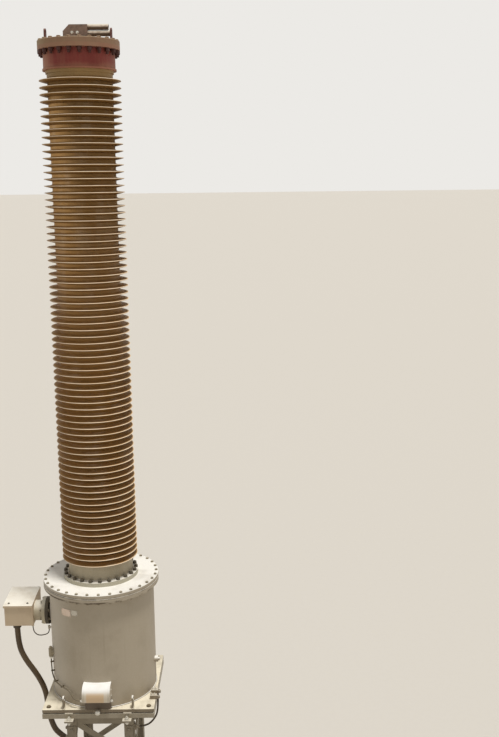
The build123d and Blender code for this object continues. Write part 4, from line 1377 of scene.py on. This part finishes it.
@dataclass
class Cords:
    """Conduit, gas tube, bonding wire and earth lead, each on its route."""

    conduit_route: tuple[Point, ...] = (
        (-0.661, -0.055, 2.839),
        (-0.661, -0.055, 2.694),
        (-0.619, -0.044, 2.564),
        (-0.535, -0.016, 2.413),
        (-0.480, 0.014, 2.253),
        (-0.475, 0.032, 2.064),
        (-0.448, 0.066, 1.9062),
        (-0.422, 0.138, 1.8063),
        (-0.368, 0.245, 1.680),
        (-0.342, 0.305, 1.538),
        (-0.342, 0.305, 0.848),
        (-0.350, 0.283, 0.678),
        (-0.377, 0.222, 0.528),
        (-0.409, 0.124, 0.403),
        (-0.421, 0.092, 0.248),
        (-0.421, 0.092, 0.110),
    )
    gas_tube_route: tuple[Point, ...] = (
        (-0.3866, -0.1641, 2.648),
        (-0.3866, -0.1641, 2.570),
        (-0.3806, -0.1775, 2.505),
        (-0.3482, -0.2349, 2.473),
        (-0.2864, -0.3072, 2.468),
        (-0.2163, -0.3600, 2.462),
        (-0.177, -0.404, 2.402),
        (-0.111, -0.404, 2.402),
    )
    bond_wire_route: tuple[Point, ...] = (
        (-0.538, -0.060, 2.849),
        (-0.538, -0.060, 2.809),
        (-0.514, -0.060, 2.775),
        (-0.478, -0.060, 2.767),
        (-0.429, -0.060, 2.779),
        (-0.413, -0.060, 2.803),
        (-0.413, -0.060, 2.825),
    )
    earth_lead_route: tuple[Point, ...] = (
        (0.437, -0.265, 2.380),
        (0.437, -0.265, 2.245),
        (0.408, -0.283, 2.177),
        (0.3453, -0.305, 2.130),
        (0.2703, -0.305, 2.130),
    )

    def build(self, shop: Workshop) -> None:
        """Make the four cords.

        Args:
            shop: the shared workshop.
        """
        conduit, tube = self.conduit_route, self.gas_tube_route
        wire, lead = self.bond_wire_route, self.earth_lead_route
        for cord in (
            Cord("conduit_tube", "conduit", Finishes.CONDUIT, route=conduit, stiffness="stiff",
                 radius=0.0225, length=2.909, ripple=0.0012),
            Cord("gas_line", "gas_tube", Finishes.SHADED_TUBE, route=tube, stiffness="stiff",
                 radius=0.005, length=0.536),
            Cord("bonding_lead", "bond_wire", Finishes.SHEATH, route=wire, stiffness="medium",
                 radius=0.004, length=0.215),
            Cord("earthing_lead", "earth_lead", Finishes.SHEATH, route=lead, stiffness="medium",
                 radius=0.007, length=0.362),
        ):
            cord.build(shop)


@dataclass
class Pedestal:
    """Concrete footing, laced angle-steel column and its bolts."""

    half_width: float = 0.250
    half_depth: float = 0.340
    leg_flange: float = 0.070
    leg_thickness: float = 0.007
    gauge: float = 0.040
    lacing_thickness: float = 0.006
    plate_thickness: float = 0.008
    tiers: tuple[tuple[float, float], ...] = ((0.328, 1.193), (1.313, 2.196))
    front_bars: int = 3
    side_bars: int = 2
    splice_middle: float = 1.253
    splice_half: float = 0.150
    splice_bolt_rise: float = 0.125
    head_plate_middle: float = 2.051
    head_plate_rises: tuple[float, ...] = (-0.075, 0.0, 0.075)
    clamp_band: tuple[float, float] = (2.10, 2.16)
    foot_centre: tuple[float, float] = (0.234, 0.324)
    foot_thickness: float = 0.018
    anchor_offset: float = 0.054
    tail_y: float = 0.442
    tail_x: float = 0.217
    gusset_reach: float = 0.056
    gusset_half: float = 0.006

    def build(self, shop: Workshop) -> None:
        """Dress the column and fasten it.

        Args:
            shop: the shared workshop.
        """
        shop.dress(Finishes.CONCRETE, "footing")
        shop.dress(Finishes.SHADED_ZINC, "leg_feet", "legs_front", "legs_back", "cap_plates", "splice_plates")
        shop.dress(Finishes.SHADED_ZINC, "bracing_front", "bracing_back", "bracing_left", "bracing_right")
        shop.dress(Finishes.FRAME, "support_frame")
        for name, places, stud_length in (
            ("lacing_bolts", self.lacing_heads(), 0.001),
            ("lacing_nuts", self.lacing_nuts(), 0.008),
            ("splice_bolts", self.splice_heads(), 0.001),
        ):
            shop.bolt(name, Finishes.SHADED_ZINC, places, head_width=0.022, head_height=0.012,
                      washer_radius=0.0155, stud_radius=0.0075, stud_length=stud_length)
        shop.bolt("anchor_bolts", Finishes.SHADED_ZINC, self.anchors(), head_width=0.030, head_height=0.019,
                  washer_radius=0.024, stud_radius=0.010, stud_length=0.022)
        shop.bolt("cap_plate_bolts", Finishes.BRIGHT, self.tail_bolts(), head_width=0.026,
                  head_height=0.014, washer_radius=0.019, stud_radius=0.008, stud_length=0.010)
        shop.bead("foot_welds", Finishes.SHADED_ZINC, self.foot_lines(), radius=0.0045, ripple_height=0.0007)

    def end_levels(self, low: float, high: float, bars: int) -> list[tuple[float, tuple[int, ...]]]:
        """Where a tier's bars end: each level, and on which sides of the panel.

        Args:
            low: the tier's lowest bolt line.
            high: its highest.
            bars: how many bars the tier has.

        Returns:
            Pairs of height and side signs.
        """
        levels = []
        for step in range(bars + 1):
            sides = SIDES if step in (0, bars) else ((-1,) if step % 2 else (1,))
            levels.append((low + step * (high - low) / bars, sides))
        return levels

    def panel_points(self) -> list[tuple[Way, float, float]]:
        """Find every lacing bolt.

        Returns:
            Its panel, its place across the panel and its height.
        """
        reach_x, reach_y = self.half_width - self.gauge, self.half_depth - self.gauge
        places = []
        for low, high in self.tiers:
            for way, reach, bars in (
                (Way.FRONT, reach_x, self.front_bars),
                (Way.BACK, reach_x, self.front_bars),
                (Way.RIGHT, reach_y, self.side_bars),
                (Way.LEFT, reach_y, self.side_bars),
            ):
                for height, sides in self.end_levels(low, high, bars):
                    places.extend((way, side * reach, height) for side in sides)
        return places

    def on_panel(self, way: Way, across: float, height: float, depth: float, out: float) -> Fastener:
        """A fastener on one of the column's four panels.

        Args:
            way: the way that the panel faces.
            across: place along the panel.
            height: its height.
            depth: how far inside the legs' outer faces it lies, less than 0 outside.
            out: 1 to point outward, -1 inward.

        Returns:
            The fastener.
        """
        nx, ny, _ = way.value
        if nx:
            place = (nx * (self.half_width - depth), across, height)
        else:
            place = (across, ny * (self.half_depth - depth), height)
        return Fastener(place, (out * nx, out * ny, 0.0))

    def lacing_heads(self) -> list[Fastener]:
        """Bolt heads on the legs' outer faces, or on the splice plates that cover them.

        Returns:
            The heads.
        """
        heads = []
        for way, across, height in self.panel_points():
            covered = abs(height - self.splice_middle) < self.splice_half
            depth = -self.plate_thickness if covered else 0.0
            heads.append(self.on_panel(way, across, height, depth, 1))
        return heads

    def lacing_nuts(self) -> list[Fastener]:
        """Nuts on the inner faces of the lacing."""
        depth = self.leg_thickness + self.lacing_thickness
        return [self.on_panel(*place, depth, -1) for place in self.panel_points()]

    def splice_heads(self) -> list[Fastener]:
        """Bolt heads on the splice plates and on the top's short plates, but none under the earth clamp.

        Returns:
            The heads.
        """
        heights = [self.splice_middle + side * self.splice_bolt_rise for side in SIDES]
        heights += [self.head_plate_middle + rise for rise in self.head_plate_rises]
        half = self.leg_flange / 2
        x, y = self.half_width - half, self.half_depth - half
        panels = ((Way.FRONT, x), (Way.BACK, x), (Way.LEFT, y), (Way.RIGHT, y))
        low, high = self.clamp_band
        return [
            self.on_panel(way, side * across, height, -self.plate_thickness, 1)
            for height in heights
            for side in SIDES
            for way, across in panels
            if not (way is Way.RIGHT and side < 0 and low < height < high)
        ]

    def anchors(self) -> list[Fastener]:
        """Nuts on the anchor bolts, four to a foot plate.

        Returns:
            The nuts.
        """
        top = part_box("footing")[1].z + self.foot_thickness
        x, y = self.foot_centre
        offsets = (-self.anchor_offset, self.anchor_offset)
        nuts = []
        for dx, dy in product(offsets, offsets):
            nuts += four_corners(x + dx, y + dy, top, Way.UP)
        return nuts

    def tail_bolts(self) -> list[Fastener]:
        """Bolts through the tails of the cap plates.

        Returns:
            Their heads and nuts.
        """
        low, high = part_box("cap_plates")
        above = four_corners(self.tail_x, self.tail_y, high.z, Way.UP)
        return above + four_corners(self.tail_x, self.tail_y, low.z, Way.DOWN)

    def foot_lines(self) -> list[Line]:
        """Weld lines along both sides of each gusset's foot.

        Returns:
            The lines, all of them open.
        """
        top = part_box("footing")[1].z + self.foot_thickness
        out_x, out_y = self.half_width + self.gusset_reach, self.half_depth + self.gusset_reach
        lines: list[Line] = []
        for sx, sy, side in product(SIDES, SIDES, (-self.gusset_half, self.gusset_half)):
            leg_y = sy * (self.half_depth - self.leg_flange / 2) + side
            leg_x = sx * (self.half_width - self.leg_flange / 2) + side
            lines.append((((sx * self.half_width, leg_y, top), (sx * out_x, leg_y, top)), False))
            lines.append((((leg_x, sy * self.half_depth, top), (leg_x, sy * out_y, top)), False))
        return lines


@dataclass
class TankBase:
    """Base plate with its lugs, pads, corner bolts and earthing pieces."""

    corner: float = 0.377
    clamp_ys: tuple[float, ...] = (-0.265, -0.185)
    clamp_xs: tuple[float, ...] = (0.388, 0.411)
    lug_x: float = 0.260
    lug_half_thickness: float = 0.006
    lug_near: float = 0.368
    lug_far: float = 0.414

    def build(self, shop: Workshop) -> None:
        """Dress the plate and fasten it.

        Args:
            shop: the shared workshop.
        """
        shop.dress(Finishes.PLATE, "base_plate")
        shop.dress(Finishes.LUG, "plate_lugs")
        shop.dress(Finishes.SUNLIT_PAD, "packing_pads")
        shop.dress(Finishes.BRIGHT, "earthing_ball")
        shop.dress(Finishes.CLAMP, "earth_clamps")
        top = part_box("base_plate")[1].z
        corners = four_corners(self.corner, self.corner, top, Way.UP)
        shop.bolt("plate_bolts", Finishes.FLAT_BOLT, corners, head_width=0.028, head_height=0.008,
                  washer_radius=0.018, stud_radius=0.009)
        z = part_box("earth_clamps")[1].z
        clamps = [Fastener((x, y, z), Way.UP.value) for x in self.clamp_xs for y in self.clamp_ys]
        shop.bolt("clamp_bolts", Finishes.BRIGHT, clamps, head_width=0.014, head_height=0.009,
                  washer_radius=0.0095, washer_thickness=0.0015, stud_radius=0.004, stud_length=0.004)
        shop.bead("lug_welds", Finishes.PLATE, self.lug_loops(top), radius=0.005, ripple_height=0.0008)

    def lug_loops(self, top: float) -> list[Line]:
        """Weld loops round the feet of the four lugs.

        Args:
            top: the height of the plate's upper face.

        Returns:
            The loops, all of them closed.
        """
        x_near, x_far = self.lug_x - self.lug_half_thickness, self.lug_x + self.lug_half_thickness
        y_near, y_far = self.lug_near, self.lug_far
        loop = ((x_near, y_near), (x_far, y_near), (x_far, y_far), (x_near, y_far))
        return [([(sx * x, sy * y, top) for x, y in loop], True) for sx in SIDES for sy in SIDES]


@dataclass(frozen=True)
class BarePlate:
    """A small bare sheet that lies against the tank wall, with a rivet at each corner."""

    name: str
    finish: Finish
    start: float
    end: float
    bottom: float
    top: float
    tank_radius: float = 0.400
    thickness: float = 0.0015
    columns: int = 14
    rows: int = 4
    inset: float = 0.006
    gap: float = 0.0004
    rounding: float = 0.0006

    def build(self, shop: Workshop) -> list[Fastener]:
        """Bend the sheet round the tank.

        Args:
            shop: the shared workshop.

        Returns:
            Places for its rivets.
        """
        shell = bmesh.new()
        inner, columns, rows = self.tank_radius + self.gap, self.columns, self.rows
        span, rise = self.end - self.start, self.top - self.bottom
        turns = [math.radians(self.start + span * column / columns) for column in range(columns + 1)]
        heights = [self.bottom + rise * row / rows for row in range(rows + 1)]
        grid = [[shell.verts.new(on_circle(inner, turn, z)) for turn in turns] for z in heights]
        for low, high in zip(grid, grid[1:]):
            for first, second, third, fourth in zip(low, low[1:], high[1:], high):
                shell.faces.new((first, second, third, fourth))
        mesh = bpy.data.meshes.new(self.name)
        shell.to_mesh(mesh)
        shell.free()
        piece = placed(self.name, mesh)
        wall = piece.modifiers.new("wall", "SOLIDIFY")
        wall.thickness = self.thickness
        wall.offset = 1.0
        edge = piece.modifiers.new("edge", "BEVEL")
        edge.width = self.rounding
        edge.segments = 2
        edge.limit_method = "ANGLE"
        mesh.materials.append(shop.finishes.of(self.finish))
        shop.add(piece, self.finish)
        return self.rivets()

    def rivets(self) -> list[Fastener]:
        """Rivets at the four corners.

        Returns:
            The rivets.
        """
        outer = self.tank_radius + self.gap + self.thickness
        slip = math.degrees(self.inset / self.tank_radius)
        turns = [math.radians(angle) for angle in (self.start + slip, self.end - slip)]
        heights = (self.bottom + self.inset, self.top - self.inset)
        places = [(turn, z) for turn in turns for z in heights]
        return [Fastener(on_circle(outer, turn, z), on_circle(1.0, turn, 0.0)) for turn, z in places]


@dataclass
class Tank:
    """Tank shell with its flange, bolted cover, bosses, plates, valve and weld seams."""

    radius: float = 0.400
    rim_bolts: int = 32
    rim_circle: float = 0.424
    nut_circle: float = 0.420
    rim_phase: float = 5.5
    neck_circle: float = 0.0915
    neck_bolts: int = 8
    neck_flange: float = 0.025
    nozzle_radius: float = 0.078
    seam_steps: int = 160
    seam_inset: float = 0.001
    nozzle_seam_steps: int = 64
    clip_places: tuple[tuple[float, float], ...] = (
        (203.0, 2.600), (204.2, 2.530), (214.0, 2.4745), (227.0, 2.4675),
    )
    clip_reaches: tuple[float, float] = (0.399, 0.4265)

    def build(self, shop: Workshop) -> None:
        """Dress the tank, bolt its cover and lay its seams.

        Args:
            shop: the shared workshop.
        """
        shop.dress(Finishes.TANK, "tank_shell", "tank_flange", "tank_cover", "tank_bosses")
        shop.dress(Finishes.SHADED_NOZZLE, "tank_nozzle")
        shop.dress(Finishes.NECK, "box_neck")
        shop.dress(Finishes.VALVE, "gas_valve")
        cover_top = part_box("tank_cover")[1].z
        flange_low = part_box("tank_flange")[0].z
        heads = round_the_axis(self.rim_circle, cover_top, self.rim_bolts, self.rim_phase, Way.UP)
        nuts = round_the_axis(self.nut_circle, flange_low, self.rim_bolts, self.rim_phase, Way.DOWN)
        for name, places in (("cover_bolts", heads), ("cover_nuts", nuts)):
            shop.bolt(name, Finishes.COVER_BOLT, places, head_width=0.019, head_height=0.008,
                      washer_radius=0.012, washer_thickness=0.002, stud_radius=0.005)
        shop.bolt("neck_bolts", Finishes.COVER_BOLT, self.neck_fasteners(), head_width=0.017,
                  head_height=0.010, washer_radius=0.0105, washer_thickness=0.0015,
                  stud_radius=0.005, stud_length=0.003)
        plates = (
            BarePlate("wall_plate_left", Finishes.PINK_PLATE, start=230.0, end=242.8,
                      bottom=3.056, top=3.111),
            BarePlate("wall_plate_right", Finishes.GREY_PLATE, start=243.5, end=251.3,
                      bottom=3.074, top=3.114),
        )
        rivets = [rivet for plate in plates for rivet in plate.build(shop)]
        shop.bolt("plate_rivets", Finishes.GAUGE, rivets, head_width=0.0035, head_height=0.001,
                  washer_radius=0.0028, washer_thickness=0.001, stud_radius=0.001)
        shop.bead("tank_welds", Finishes.TANK, self.seams(), radius=0.0055, ripple_height=0.0008)
        self.build_tube_clips(shop)

    def neck_fasteners(self) -> list[Fastener]:
        """Bolts round the pair of flanges between the nozzle and the box's neck.

        Returns:
            A head and a nut for each bolt.
        """
        low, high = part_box("box_neck")
        middle = (low.z + high.z) / 2
        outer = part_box("tank_nozzle")[0].x + self.neck_flange
        ends = ((high.x - self.neck_flange, Way.LEFT), (outer, Way.RIGHT))
        found = []
        for index in range(self.neck_bolts):
            turn = FULL_TURN * (index + 0.5) / self.neck_bolts
            y, z = self.neck_circle * math.cos(turn), middle + self.neck_circle * math.sin(turn)
            found += [Fastener((x, y, z), way.value) for x, way in ends]
        return found

    def seams(self) -> list[Line]:
        """Weld seams at the tank's foot and top and round the nozzle.

        Returns:
            The seams, all of them closed.
        """
        foot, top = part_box("tank_shell")
        loops: list[Line] = []
        for height in (foot.z + self.seam_inset, top.z - self.seam_inset):
            turns = even_turns(self.seam_steps)
            loops.append(([on_circle(self.radius, turn, height) for turn in turns], True))
        low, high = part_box("box_neck")
        middle = (low.z + high.z) / 2
        ring = []
        for turn in even_turns(self.nozzle_seam_steps):
            y = self.nozzle_radius * math.cos(turn)
            x = -math.sqrt(self.radius**2 - y**2)
            ring.append((x, y, middle + self.nozzle_radius * math.sin(turn)))
        loops.append((ring, True))
        return loops

    def build_tube_clips(self, shop: Workshop) -> None:
        """Stand the gas tube off the tank wall on short clips, and put a nut on each of its ends.

        Args:
            shop: the shared workshop.
        """
        posts = [
            ([on_circle(reach, math.radians(angle), height) for reach in self.clip_reaches], False)
            for angle, height in self.clip_places
        ]
        shop.bead("tube_clips", Finishes.CLIP, posts, radius=0.0062, ripple_height=0.0004,
                  sample_length=0.004)
        route = Cords.gas_tube_route
        nuts = [Fastener(route[0], Way.DOWN.value), Fastener(route[-1], Way.LEFT.value)]
        shop.bolt("tube_nuts", Finishes.BRIGHT, nuts, head_width=0.022, head_height=0.013,
                  washer_radius=0.0115, washer_thickness=0.003, stud_radius=0.0075, stud_length=0.006)


@dataclass
class TerminalBox:
    """Terminal box with its folded hood, gland, conduit clips and duct."""

    screw_xs: tuple[float, ...] = (-0.711, -0.567)
    screw_y: float = -0.078
    fold_y: float = 0.095
    skirt: float = 0.017
    back_screw_z: float = 3.035

    def build(self, shop: Workshop) -> None:
        """Dress the box and put its screws in.

        Args:
            shop: the shared workshop.
        """
        shop.dress(Finishes.BOX, "box_housing", "box_hood")
        shop.dress(Finishes.DARK, "conduit_gland", "conduit_duct")
        shop.dress(Finishes.SHADED_ZINC, "conduit_clips")
        low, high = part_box("box_hood")
        front_top = low.z + self.skirt
        slope = (high.z - front_top) / (self.fold_y - low.y)
        height = front_top + slope * (self.screw_y - low.y)
        tilt = Vector((0.0, -slope, 1.0)).normalized()
        screws = [Fastener((x, self.screw_y, height), tuple(tilt)) for x in self.screw_xs]
        screws += [Fastener((x, high.y, self.back_screw_z), Way.BACK.value) for x in self.screw_xs]
        shop.bolt("hood_screws", Finishes.BOLT, screws, head_width=0.011, head_height=0.005,
                  washer_radius=0.009, washer_thickness=0.0015, stud_radius=0.004)


@dataclass
class GasMonitor:
    """Gas monitor: cast block, round gauge and its sheet rain hood."""

    cap_y: float = -0.404
    cap_z: float = 2.402
    screw_y: float = -0.425
    screw_zs: tuple[float, ...] = (2.458, 2.505)

    def build(self, shop: Workshop) -> None:
        """Dress the monitor and put its screws in.

        Args:
            shop: the shared workshop.
        """
        shop.dress(Finishes.SHADED_CAST, "monitor_block")
        shop.dress(Finishes.HOOD, "monitor_hood")
        shop.dress(Finishes.GAUGE, "gas_monitor")
        low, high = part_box("monitor_hood")
        y, sides = self.screw_y, ((low.x, Way.LEFT), (high.x, Way.RIGHT))
        screws = [Fastener((x, y, z), way.value) for z in self.screw_zs for x, way in sides]
        cap = [Fastener((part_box("monitor_block")[1].x, self.cap_y, self.cap_z), Way.RIGHT.value)]
        shop.bolt("monitor_cap_nut", Finishes.BRIGHT, cap, head_width=0.020, head_height=0.012,
                  washer_radius=0.012, stud_radius=0.007, stud_length=0.004)
        shop.bolt("monitor_screws", Finishes.BRIGHT, screws, head_width=0.009, head_height=0.004,
                  washer_radius=0.0075, washer_thickness=0.001, stud_radius=0.003)


@dataclass
class Insulator:
    """Brown insulator with 74 sheds between its two metal fittings."""

    core_radius: float = 0.2275
    shed_radius: float = 0.286
    pitch: float = 0.048
    count: int = 74
    first_rim: float = 0.018
    rise: float = 0.015
    undercut: float = 0.009
    lip: float = 0.004
    facets: int = 76
    flange_thickness: float = 0.033
    fitting_bolts: int = 24
    fitting_circle: float = 0.268
    fitting_phase: float = 6.5

    def build(self, shop: Workshop) -> None:
        """Grow the sheds and bolt the lower fitting.

        Args:
            shop: the shared workshop.
        """
        low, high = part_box("insulator")
        sizes = {
            "core_radius": self.core_radius,
            "shed_radius": self.shed_radius,
            "pitch": self.pitch,
            "count": self.count,
            "first_rim": self.first_rim,
            "rise": self.rise,
            "undercut": self.undercut,
            "lip": self.lip,
            "length": high.z - low.z,
            "facets": self.facets,
        }
        host = mesh_of("insulator_sheds", [(0.0, 0.0, low.z)])
        piece = shop.grow("insulator_sheds", Finishes.GLAZE, shop.sheds, host, sizes)
        faces_out(piece.data)
        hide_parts("insulator")
        shop.add(piece, Finishes.GLAZE)
        shop.dress(Finishes.FITTING, "bottom_fitting")
        shop.dress(Finishes.WARM_LIT_COLLAR, "top_fitting")
        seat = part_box("bottom_fitting")[0].z + self.flange_thickness
        bolts = round_the_axis(self.fitting_circle, seat, self.fitting_bolts, self.fitting_phase, Way.UP)
        shop.bolt("fitting_bolts", Finishes.BOLT, bolts, head_width=0.026, head_height=0.016,
                  washer_radius=0.0155, stud_radius=0.008, stud_length=0.004)


@dataclass
class Head:
    """Red head drum, lid, lifting lugs, terminal block and conductor sleeves."""

    circle: float = 0.268
    bolts: int = 24
    phase: float = 10.0
    flange_reach: float = 0.026
    terminal_bolt_xs: tuple[float, ...] = (-0.045, -0.008)
    terminal_bolt_z: float = 7.251
    terminal_face: float = 0.019
    foot_bolt_xs: tuple[float, ...] = (-0.094, 0.046)
    foot_bolt_y: float = 0.0
    foot_bolt_z: float = 7.203

    def build(self, shop: Workshop) -> None:
        """Dress the head and fasten its lid and terminal.

        Args:
            shop: the shared workshop.
        """
        shop.dress(Finishes.RED, "head_cap")
        shop.dress(Finishes.LUG_RED, "lid_lugs")
        shop.dress(Finishes.LID, "head_lid")
        shop.dress(Finishes.TERMINAL, "terminal_block", "terminal_keeper")
        shop.dress(Finishes.SLEEVE, "conductor_sleeves")
        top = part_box("head_lid")[1].z
        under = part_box("head_cap")[1].z - self.flange_reach
        above = round_the_axis(self.circle, top, self.bolts, self.phase, Way.UP)
        below = round_the_axis(self.circle, under, self.bolts, self.phase, Way.DOWN)
        shop.bolt("lid_bolts", Finishes.LID, above, head_width=0.026, head_height=0.007,
                  washer_radius=0.0160, washer_thickness=0.002, stud_radius=0.009)
        shop.bolt("lid_nuts", Finishes.SHADED_HEAD_BOLT, below, head_width=0.029, head_height=0.022,
                  washer_radius=0.0165, stud_radius=0.010, stud_length=0.016)
        y, z = self.terminal_face, self.terminal_bolt_z
        through = [Fastener((x, y, z), Way.FRONT.value) for x in self.terminal_bolt_xs]
        shop.bolt("terminal_bolts", Finishes.BRIGHT, through, head_width=0.017, head_height=0.011,
                  washer_radius=0.0105, stud_radius=0.005, stud_length=0.006)
        y, z = self.foot_bolt_y, self.foot_bolt_z
        feet = [Fastener((x, y, z), Way.UP.value) for x in self.foot_bolt_xs]
        shop.bolt("terminal_foot_bolts", Finishes.BOLT, feet, head_width=0.024, head_height=0.015,
                  washer_radius=0.0155, stud_radius=0.008, stud_length=0.006)


def faces_out(mesh: bpy.types.Mesh) -> None:
    """Turn every closed shell's faces outward.

    Args:
        mesh: the mesh that is mended.
    """
    shell = bmesh.new()
    shell.from_mesh(mesh)
    bmesh.ops.recalc_face_normals(shell, faces=shell.faces)
    shell.to_mesh(mesh)
    shell.free()


def main() -> None:
    """Build the studio and every sub-assembly in order."""
    logging.basicConfig(level=logging.INFO, format="%(message)s")
    Studio().build()
    shop = Workshop()
    for assembly in (Cords, Pedestal, TankBase, Tank, TerminalBox, GasMonitor, Insulator, Head):
        assembly().build(shop)


if __name__ == "__main__":
    main()
